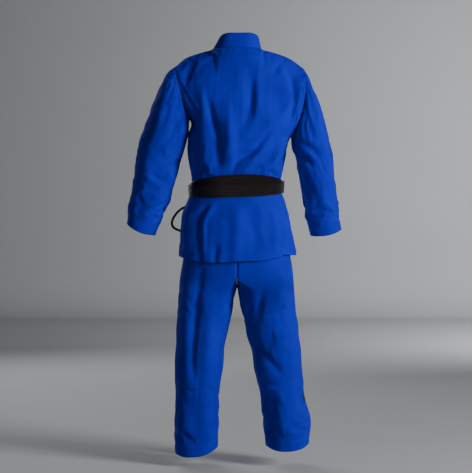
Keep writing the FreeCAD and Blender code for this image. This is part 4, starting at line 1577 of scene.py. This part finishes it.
@dataclass(frozen=True)
class TrouserLeg:
    """One half of the trousers: half of the seat, and a leg.

    Attributes:
        side: left or right, as the wearer has it.
        sign: 1 for left, -1 for right.
        outer: outline of the outer side, (level, distance from the middle).
        inner: outline of the inner side.
        hem: level of the hem at the outer side, the inner side and the back.
        folds: its folds.
        hip: where the leg begins to take over from the seat, and has taken over.
        knee_seam: level of the lower edge of the knee's second layer.
        seed: picks its wrinkles.
        crotch, top, split: levels of the crotch, of the waist and of the row where it is split.
        thick: thickness of the cloth.
        step: spacing of the grid's rows.
        deep: half depth, (level, size).
    """

    side: str
    sign: int
    outer: Pairs
    inner: Pairs
    hem: Point
    folds: tuple[Fold, ...]
    hip: tuple[Point, Point]
    knee_seam: float
    seed: int
    crotch: float = -0.812
    top: float = -0.480
    split: float = -0.915
    thick: float = 0.0016
    step: float = 0.0034
    deep: Pairs = (
        (-0.480, 0.097), (-0.550, 0.110), (-0.600, 0.116), (-0.725, 0.129), (-0.780, 0.128),
        (-0.880, 0.110), (-1.030, 0.094), (-1.180, 0.086), (-1.400, 0.081))

    def surface(self) -> tuple[Array, Array, int]:
        """The half as rows from the waist to the hem.

        Above the crotch a row is half of the seat's outline, from the middle of the back round the
        outer side to the middle of the front; the rest of its points lie on the middle. Below, a row
        is the leg's whole outline. Both are x = c + w sin^p and y = d cos^p of an angle.

        Returns:
            The grid, the level of each row at rest, and the row where it is split.
        """
        upper = int((self.top - self.split) / self.step)
        lower = int((self.split - LEG_END) / self.step)
        level = np.concatenate([np.linspace(self.top, self.split, upper + 1),
                                np.linspace(self.split, LEG_END, lower)[1:]])
        columns = 184
        turn = np.linspace(0, CLOSED, columns)[None, :]
        outer, inner = profile(level, self.outer)[:, None], profile(level, self.inner)[:, None]
        deep = profile(level, self.deep)[:, None]
        seat = smoothstep((level - self.crotch + 0.02) / 0.06)[:, None]
        squareness = ROUND - 0.22 * smoothstep((level - self.crotch + 0.10) / 0.14)[:, None]
        sine, cosine = np.sin(turn), np.cos(turn)
        middle, half = (outer + inner) / 2, (outer - inner) / 2
        leg_x = middle + half * power(sine, squareness)
        seat_x = np.where(sine > 0, outer * np.abs(sine) ** ROUND, 0.0)
        x = leg_x * (1 - seat) + seat_x * seat
        y = deep * power(cosine, squareness)
        z = np.broadcast_to(level[:, None], x.shape).copy()
        low = smoothstep((level - self.split) / (LEG_END - self.split))[:, None]
        outside, inside, behind = self.hem
        edge = ((outside + inside) / 2 + (outside - inside) / 2 * sine
                + (behind - (outside + inside) / 2) * np.abs(cosine) ** 2)
        z += (edge - LEG_END) * low ** 2
        points = np.stack([self.sign * x, y, z], axis=2)
        if self.sign < 0:
            points = points[:, ::-1].copy()
        return points, level, upper

    def dressed_surface(self) -> tuple[Array, Array, int]:
        """The surface with its folds, wrinkles, hem and the edge of the knee's second layer."""
        points, level, split = self.surface()
        Sleeve.close(points)
        quiet = smoothstep((self.crotch + 0.10 - level) / 0.16) * smoothstep((level + 1.392) / 0.03)
        quiet = quiet[:, None]
        lift = crinkle(points, self.seed, 0.11, 0.0012) + crinkle(points, self.seed + 3, 0.045, 0.0006)
        lift *= quiet
        middle = np.abs(points[..., 0]) < 0.0005
        for fold in self.folds:
            lift += fold.lift(points)
        lift = np.where(middle & (level[:, None] > self.crotch - 0.01), 0.0, lift)
        normal = normals_of(points, True)
        rows = np.arange(len(level))
        seam, hem = row_at(level, self.knee_seam), row_at(level, HEM_TOP)
        lift = lift + 0.0011 * smoothstep((rows - seam + 40) / 20)[:, None] * (rows <= seam)[:, None]
        lift -= 0.0010 * np.exp(-((rows - hem) / 0.9) ** 2)[:, None]
        points = points + normal * lift[..., None]
        Sleeve.close(points)
        hold = np.exp(-((level - self.split) / 0.014) ** 2)
        hold += smoothstep((level[-1] + 0.06 - level) / 0.025)
        hold = np.clip(hold + smoothstep((level - self.crotch + 0.03) / 0.02), 0, 1)
        pins = hold[:, None] * np.ones(points.shape[1])
        drape = Drape(slack=0.006, limit=0.0035, stiff=0.8)
        points = drape.settle(f"{self.side}_leg", points, pins)
        Sleeve.close(points)
        return points, level, split

    def build(self, wardrobe: Wardrobe) -> list[Piece]:
        """Make and dress the half's pieces.

        Args:
            wardrobe: the materials.

        Returns:
            The upper and lower halves, the hem's facing, the knee panel and the stitching.
        """
        points, level, split = self.dressed_surface()
        normal = normals_of(points, True)
        hip = Hang("trousers", f"{self.side}_leg", *self.hip)
        knee_at = joint(f"{self.side}_knee")["pos_m"][2]
        x = self.sign * 0.12
        knee = Hang(f"{self.side}_leg", f"{self.side}_lower_leg", (x, 0.0, knee_at + 0.095),
                    (x, 0.0, knee_at - 0.095))
        top = points[:split + 1]
        on_middle = np.abs(top[..., 0]) < 0.0006
        solid = ~(on_middle[:-1, :-1] & on_middle[:-1, 1:] & on_middle[1:, :-1] & on_middle[1:, 1:])
        upper = cut(f"{self.side}_trouser_top", top, self.thick, wardrobe.trousers, "trouser_cloth",
                    keep=solid.ravel(), merge=True)
        lower = cut(f"{self.side}_trouser_leg", points[split:], self.thick, wardrobe.trousers,
                    "trouser_cloth", merge=True)
        for half in (upper, lower):
            shade_joined(half, points[split], normal[split])
        for piece, cad in ((upper, ["seat", "hip_cloth", "thigh"]), (lower, ["knee_cloth", "shin"])):
            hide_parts(*[f"{self.side}_{name}" for name in cad])
        hem = row_at(level, HEM_TOP)
        inside = points[hem:] - normal[hem:] * (self.thick + FACING_GAP)
        facing = cut(f"{self.side}_hem_facing", inside, TAPE, wardrobe.tape, "hem_tape", merge=True)
        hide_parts(f"{self.side}_leg_tape")
        seam, start = row_at(level, self.knee_seam), row_at(level, knee_at + 0.11)
        count = points.shape[1]
        half = slice(int(count * 0.27), int(count * 0.73))
        spot = points[start:seam + 14, half] + normal[start:seam + 14, half] * 0.0017
        panel_piece = cut(f"{self.side}_knee_patch", spot, PATCH, wardrobe.trousers, "patch_cloth")
        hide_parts(f"{self.side}_knee_panel")
        lines = [(points[k], normal[k]) for k in (hem, hem + 1, len(level) - 3, seam - 1, seam - 4)]
        sewing = sewn(f"{self.side}_leg_stitching", lines, wardrobe, "trouser_cloth")
        edge = count // 4 if self.sign > 0 else count - count // 4
        side_lines = [(points[60:split + 1, edge + k], normal[60:split + 1, edge + k]) for k in (-1, 1)]
        side_low = [(points[split:-2, edge + k], normal[split:-2, edge + k]) for k in (-1, 1)]
        side_sewing = sewn(f"{self.side}_side_seam_top", side_lines, wardrobe, "trouser_cloth")
        low_sewing = sewn(f"{self.side}_side_seam_low", side_low, wardrobe, "trouser_cloth")
        hip.carry(upper)
        hip.carry(side_sewing)
        pieces = [lower, facing, panel_piece, sewing, low_sewing]
        if self.side == "right":
            pieces.append(self.label(points, normal, level, wardrobe))
        for piece in pieces:
            knee.carry(piece)
        return [upper, side_sewing, *pieces]

    def label(self, points: Array, normal: Array, level: Array,
              wardrobe: Wardrobe) -> Piece:
        """A blank woven label on the outer side of the leg."""
        low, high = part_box("leg_label")
        first, last = row_at(level, high[2]), row_at(level, low[2])
        rows = slice(first, last + 1)
        row = points[(first + last) // 2]
        outside = (row[:, 0] < row[:, 0].mean()) & (row[:, 1] > low[1]) & (row[:, 1] < high[1] * 1.25)
        columns = np.flatnonzero(outside)
        area = slice(columns[0], columns[-1] + 1)
        spot = points[rows, area] + normal[rows, area] * 0.0015
        piece = cut("leg_label_cloth", spot, 0.0013, wardrobe.label, "label")
        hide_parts("leg_label")
        return piece


@dataclass(frozen=True)
class Waistband:
    """The trousers' band, gathered on its cord, with the loops and patches beside it.

    Attributes:
        gathers: number of pleats round it.
        deep: how deep they are.
    """

    gathers: int = 64
    deep: float = 0.0011

    def build(self, wardrobe: Wardrobe) -> list[Piece]:
        """Make and dress the band, its loops, the side patches and the gusset.

        Args:
            wardrobe: the materials.

        Returns:
            Those pieces.
        """
        low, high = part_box("waistband")
        half = [(high[k] - low[k]) / 2 for k in (0, 1)]
        angle = np.linspace(0, CLOSED, 513)[None, :]
        across = np.linspace(0, CLOSED, 33)[:, None]
        tall, wall = (high[2] - low[2]) / 2, 0.0048
        pleat = self.deep * np.sin(self.gathers * angle + 1.5 * np.sin(3 * angle))
        out = -0.0055 + (wall + pleat) * power(np.sin(across), 0.5)
        flare = 0.006 * (np.cos(across) * -0.5 + 0.5)
        x = (half[0] - 0.006 + out + flare) * np.sin(angle)
        y = (half[1] - 0.008 + out + flare) * np.cos(angle)
        z = (low[2] + high[2]) / 2 + tall * power(np.cos(across), 0.6) + 0 * angle
        band = grid_object("trouser_waistband", np.stack([x, y, z], axis=2)[::-1], merge=True)
        dress(band, wardrobe.trousers)
        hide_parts("waistband", "drawcord_run")
        pieces = [band]
        loops = []
        for place in (-0.087, -0.029, 0.029, 0.087):
            depth = -(half[1] + 0.0005) * math.sqrt(1 - (place / half[0]) ** 2)
            v = np.linspace(0, 1, 20)[:, None]
            u = np.linspace(-1, 1, 8)[None, :]
            grid = np.stack([place - 0.0045 * u + 0 * v, depth - 0.0016 * np.sin(math.pi * v) + 0 * u,
                             high[2] - 0.003 - (high[2] - low[2] - 0.012) * v + 0 * u], axis=2)
            loops.append(grid)
        loop = cut("waist_loops", np.concatenate(loops), PATCH, wardrobe.trousers, "trouser_cloth",
                   keep=self.parted(4, 20, 8))
        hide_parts("cord_loops")
        pieces.append(loop)
        for side, sign in (("left", 1), ("right", -1)):
            pieces.append(self.patch(side, sign, wardrobe))
        gusset_low, gusset_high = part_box("crotch_gusset")
        pieces.append(self.gusset(gusset_low, gusset_high, wardrobe))
        for piece in pieces:
            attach(piece, "trousers")
        return pieces

    @staticmethod
    def parted(blocks: int, rows: int, columns: int) -> Array:
        """Which quads belong to a block of rows, and not between two blocks."""
        row = np.arange(blocks * rows - 1)
        return np.repeat((row % rows) != rows - 1, columns - 1)

    def patch(self, side: str, sign: int, wardrobe: Wardrobe) -> Piece:
        """A long patch down the seat's side: an arc of the seat's outline, lifted by its thickness."""
        low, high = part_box(f"{side}_cord_patch")
        leg = LEFT_LEG if sign > 0 else RIGHT_LEG
        level = np.linspace(high[2], low[2], 34)[:, None]
        y = np.linspace(high[1], low[1], 14)[None, :] * sign
        wide = profile(level, leg.outer) + 0.0016
        deep = profile(level, leg.deep)
        x = wide * (1 - np.abs(y / deep) ** ROUNDNESS) ** (1 / ROUNDNESS)
        grid = np.stack([sign * x, y + 0 * level, level + 0 * y], axis=2)
        piece = cut(f"{side}_side_patch", grid, PATCH, wardrobe.tape, "patch_cloth")
        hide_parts(f"{side}_cord_patch")
        return piece

    def gusset(self, low: Array, high: Array, wardrobe: Wardrobe) -> Piece:
        """The crotch's seam, a slim rounded ridge from front to back: a flat oval along a line."""
        along = np.linspace(0, 1, 40)[:, None]
        turn = np.linspace(0, CLOSED, 17)[None, :]
        taper = np.sin(math.pi * np.clip(along, 0.02, 0.98)) ** 0.3
        x = 0.0024 * np.cos(turn) * taper
        y = high[1] + (low[1] - high[1]) * along + 0 * turn
        z = low[2] - 0.004 + 0.0035 * np.sin(turn) * taper
        piece = grid_object("crotch_seam", np.stack([x, y, z], axis=2), merge=True)
        cap_ends(piece)
        dress(piece, wardrobe.trousers)
        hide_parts("crotch_gusset")
        return piece


LEFT_LEG = TrouserLeg(
    "left", 1,
    ((-0.480, 0.138), (-0.550, 0.150), (-0.600, 0.160), (-0.680, 0.174), (-0.731, 0.183), (-0.772, 0.190),
     (-0.853, 0.195), (-0.893, 0.199), (-0.933, 0.202), (-1.014, 0.205), (-1.095, 0.206), (-1.176, 0.206),
     (-1.217, 0.209), (-1.257, 0.212), (-1.338, 0.209), (-1.400, 0.206)),
    ((-0.480, 0.0), (-0.780, 0.0), (-0.812, 0.002), (-0.853, 0.0125), (-0.893, 0.018), (-0.933, 0.027),
     (-0.974, 0.037), (-1.014, 0.044), (-1.055, 0.047), (-1.095, 0.0505), (-1.136, 0.057), (-1.176, 0.061),
     (-1.217, 0.061), (-1.257, 0.064), (-1.338, 0.064), (-1.400, 0.066)),
    (-1.362, -1.341, -1.368),
    (Fold(((0.115, -0.73), (0.130, -0.84), (0.138, -0.92), (0.148, -1.05), (0.136, -1.12)), 0.013, -0.011),
     Fold(((0.160, -0.73), (0.168, -0.85), (0.172, -0.98), (0.168, -1.10)), 0.018, 0.006),
     Fold(((0.080, -0.80), (0.090, -0.92), (0.098, -1.05), (0.100, -1.12)), 0.022, 0.006),
     Fold(((0.190, -1.13), (0.150, -1.150), (0.110, -1.138), (0.075, -1.15)), 0.010, -0.005),
     Fold(((0.150, -1.16), (0.140, -1.24), (0.150, -1.34)), 0.024, -0.006),
     Fold(((0.100, -1.17), (0.095, -1.27), (0.090, -1.36)), 0.022, 0.005)),
    ((0.120, 0.0, -0.7550), (0.163, 0.0, -0.840)), -1.135, 61)
RIGHT_LEG = TrouserLeg(
    "right", -1,
    ((-0.480, 0.138), (-0.550, 0.150), (-0.600, 0.160), (-0.680, 0.174), (-0.731, 0.184), (-0.772, 0.189),
     (-0.853, 0.195), (-0.893, 0.199), (-0.933, 0.206), (-0.974, 0.209), (-1.014, 0.2155), (-1.095, 0.219),
     (-1.136, 0.226), (-1.176, 0.229), (-1.217, 0.236), (-1.257, 0.243), (-1.297, 0.246), (-1.338, 0.243),
     (-1.400, 0.240)),
    ((-0.480, 0.0), (-0.770, 0.0), (-0.806, 0.002), (-0.853, 0.010), (-0.893, 0.020), (-0.933, 0.030),
     (-0.974, 0.037), (-1.014, 0.050), (-1.055, 0.057), (-1.095, 0.064), (-1.136, 0.071), (-1.176, 0.078),
     (-1.217, 0.081), (-1.257, 0.084), (-1.297, 0.088), (-1.338, 0.093), (-1.400, 0.098)),
    (-1.330, -1.338, -1.350),
    (Fold(((-0.083, -0.80), (-0.072, -0.87), (-0.059, -0.94)), 0.016, -0.007),
     Fold(((-0.059, -0.99), (-0.106, -1.045), (-0.158, -1.100)), 0.014, -0.009),
     Fold(((-0.09, -0.965), (-0.14, -0.965), (-0.19, -0.945)), 0.018, 0.005),
     Fold(((-0.08, -0.895), (-0.14, -0.885), (-0.18, -0.870)), 0.016, -0.005),
     Fold(((-0.140, -0.73), (-0.150, -0.82), (-0.160, -0.90)), 0.022, 0.006),
     Fold(((-0.075, -1.115), (-0.13, -1.130), (-0.205, -1.108)), 0.010, -0.005),
     Fold(((-0.150, -1.12), (-0.160, -1.22), (-0.175, -1.33)), 0.024, 0.006),
     Fold(((-0.110, -1.14), (-0.115, -1.24), (-0.130, -1.33)), 0.022, -0.006)),
    ((-0.120, 0.0, -0.7550), (-0.163, 0.0, -0.840)), -1.102, 71)

LEFT_SLEEVE = Sleeve(
    "left", 1, LEFT_ARM,
    (Fold(((0.235, -0.10), (0.252, -0.19), (0.262, -0.29)), 0.020, 0.005),
     Fold(((0.200, -0.26), (0.225, -0.31), (0.255, -0.33)), 0.012, -0.007),
     Fold(((0.296, -0.422), (0.262, -0.445), (0.234, -0.447)), 0.010, -0.008),
     Fold(((0.185, -0.365), (0.205, -0.398), (0.235, -0.405)), 0.010, -0.007),
     Fold(((0.330, -0.33), (0.305, -0.39), (0.290, -0.47)), 0.018, 0.006),
     Fold(((0.340, -0.46), (0.325, -0.52), (0.330, -0.59)), 0.016, -0.005),
     Fold(((0.262, -0.49), (0.285, -0.54), (0.300, -0.60)), 0.016, 0.005)),
    ((0.2160, 0.0, -0.0680), (0.2560, 0.0, -0.0780)), 51)
RIGHT_SLEEVE = Sleeve(
    "right", -1, RIGHT_ARM,
    (Fold(((-0.250, -0.12), (-0.268, -0.20), (-0.270, -0.29)), 0.020, 0.005),
     Fold(((-0.189, -0.325), (-0.243, -0.340), (-0.276, -0.377)), 0.012, -0.009),
     Fold(((-0.199, -0.347), (-0.256, -0.408)), 0.011, -0.008),
     Fold(((-0.200, -0.335), (-0.245, -0.365), (-0.27, -0.395)), 0.010, 0.006),
     Fold(((-0.300, -0.35), (-0.305, -0.43), (-0.298, -0.52)), 0.018, 0.005),
     Fold(((-0.235, -0.46), (-0.262, -0.50), (-0.27, -0.58)), 0.014, -0.005)),
    ((-0.2680, 0.0, -0.2020), (-0.2986, 0.0, -0.2277)), 56)


# ---------------------------------------------------------------- drawcord and studio

@dataclass(frozen=True)
class Drawcord:
    """The loop of cord that hangs out of the left vent.

    Attributes:
        route: the points that it follows, from the trousers' side and back to it.
        thick: its diameter.
    """

    route: tuple[Point, ...] = (
        (0.1506, 0.0, -0.536), (0.172, 0.0, -0.536), (0.196, -0.003, -0.551), (0.213, -0.006, -0.572),
        (0.221, -0.007, -0.594), (0.213, -0.005, -0.610), (0.193, -0.001, -0.618), (0.1683, 0.0, -0.628))
    thick: float = 0.008

    def build(self, wardrobe: Wardrobe) -> list[Piece]:
        """Make and dress the cord: a round tube along a smooth spline through its route."""
        curve = bpy.data.curves.new("drawcord_line", "CURVE")
        curve.dimensions = "3D"
        line = curve.splines.new("NURBS")
        line.points.add(len(self.route) - 1)
        line.points.foreach_set("co", [c for p in self.route for c in (*p, 1.0)])
        line.order_u = 3
        line.use_endpoint_u = True
        line.resolution_u = 16
        curve.bevel_depth = self.thick / 2
        curve.bevel_resolution = 6
        curve.use_fill_caps = True
        piece = bpy.data.objects.new("drawcord_loop_cord", curve)
        bpy.context.scene.collection.objects.link(piece)
        piece.data.materials.append(wardrobe.cord)
        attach(piece, "trousers")
        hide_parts("drawcord_loop")
        return [piece]


@dataclass(frozen=True)
class Studio:
    """The camera, four soft lights and a plain pale floor.

    Attributes:
        far: the camera's distance behind the uniform.
        lens: its focal length in mm.
        level: its height.
    """

    far: float = 4.8
    lens: float = 108.6
    level: float = -0.638

    def camera(self) -> None:
        """Set the camera up, level, looking along -Y at the uniform's back."""
        data = bpy.data.cameras.new("camera")
        data.lens = self.lens
        data.sensor_width = 36.0
        camera = bpy.data.objects.new("camera", data)
        camera.location = (0.003, self.far, self.level)
        camera.rotation_euler = (math.pi / 2, 0.0, math.pi)
        bpy.context.scene.collection.objects.link(camera)
        bpy.context.scene.camera = camera

    def light(self, name: str, place: Point, size: float, watts: float,
              aim: Point = (0.0, 0.0, -0.65)) -> None:
        """Add a soft square light.

        Args:
            name: its name.
            place: where it stands.
            size: its side.
            watts: its strength.
            aim: the point that it faces.
        """
        data = bpy.data.lights.new(name, "AREA")
        data.size = size
        data.energy = watts
        lamp = bpy.data.objects.new(name, data)
        lamp.location = place
        way = np.array(aim) - np.array(place)
        lamp.rotation_euler = (math.atan2(math.hypot(way[0], way[1]), -way[2]), 0.0,
                               math.atan2(-way[0], way[1]))
        bpy.context.scene.collection.objects.link(lamp)

    def build(self, wardrobe: Wardrobe) -> list[Piece]:
        """Make the lights and the floor, a sheet that turns up to a wall in a quarter circle."""
        self.light("key", (-3.5, 2.5, 0.5), 1.4, 225.0)
        self.light("fill", (3.2, 3.4, 0.2), 2.4, 9.0)
        self.light("front_fill", (1.6, -3.4, 1.2), 2.4, 60.0)
        self.light("wall_wash", (-3.6, -4.6, 0.6), 2.4, 220.0, (-2.0, -9.0, -0.8))
        world = bpy.data.worlds.new("studio_air")
        world.use_nodes = True
        world.node_tree.nodes["Background"].inputs[0].default_value = (0.75, 0.78, 0.82, 1.0)
        world.node_tree.nodes["Background"].inputs[1].default_value = 0.12
        bpy.context.scene.world = world
        ground, far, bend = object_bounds()[0][2] - 0.035, -8.9, 0.5
        turn = np.linspace(0, math.pi / 2, 12)
        y = np.concatenate([[7.0, 2.0, -3.0], far + bend - bend * np.sin(turn), [far]])
        z = np.concatenate([[0.0, 0.0, 0.0], bend - bend * np.cos(turn), [7.0]]) + ground
        x = np.linspace(-11.0, 11.0, 12)[None, :]
        sheet = np.stack([x + 0 * y[:, None], y[:, None] + 0 * x, z[:, None] + 0 * x], axis=2)
        floor = grid_object("studio_floor", sheet)
        floor.data.materials.append(wardrobe.floor)
        floor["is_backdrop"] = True
        return [floor]


def main() -> None:
    """Build the uniform, piece by piece."""
    logging.basicConfig(level=logging.INFO, format="%(name)s: %(message)s")
    studio = Studio()
    studio.camera()
    wardrobe = Wardrobe.open()
    makers = (Drawcord(), JacketBody(), LEFT_SLEEVE, RIGHT_SLEEVE, Belt(), Skirts(), LEFT_LEG, RIGHT_LEG,
              Waistband(), studio)
    for maker in makers:
        for piece in maker.build(wardrobe):
            count = len(piece.data.polygons) if piece.type == "MESH" else 0
            LOG.info("%s: %d faces", piece.name, count)


if __name__ == "__main__":
    main()
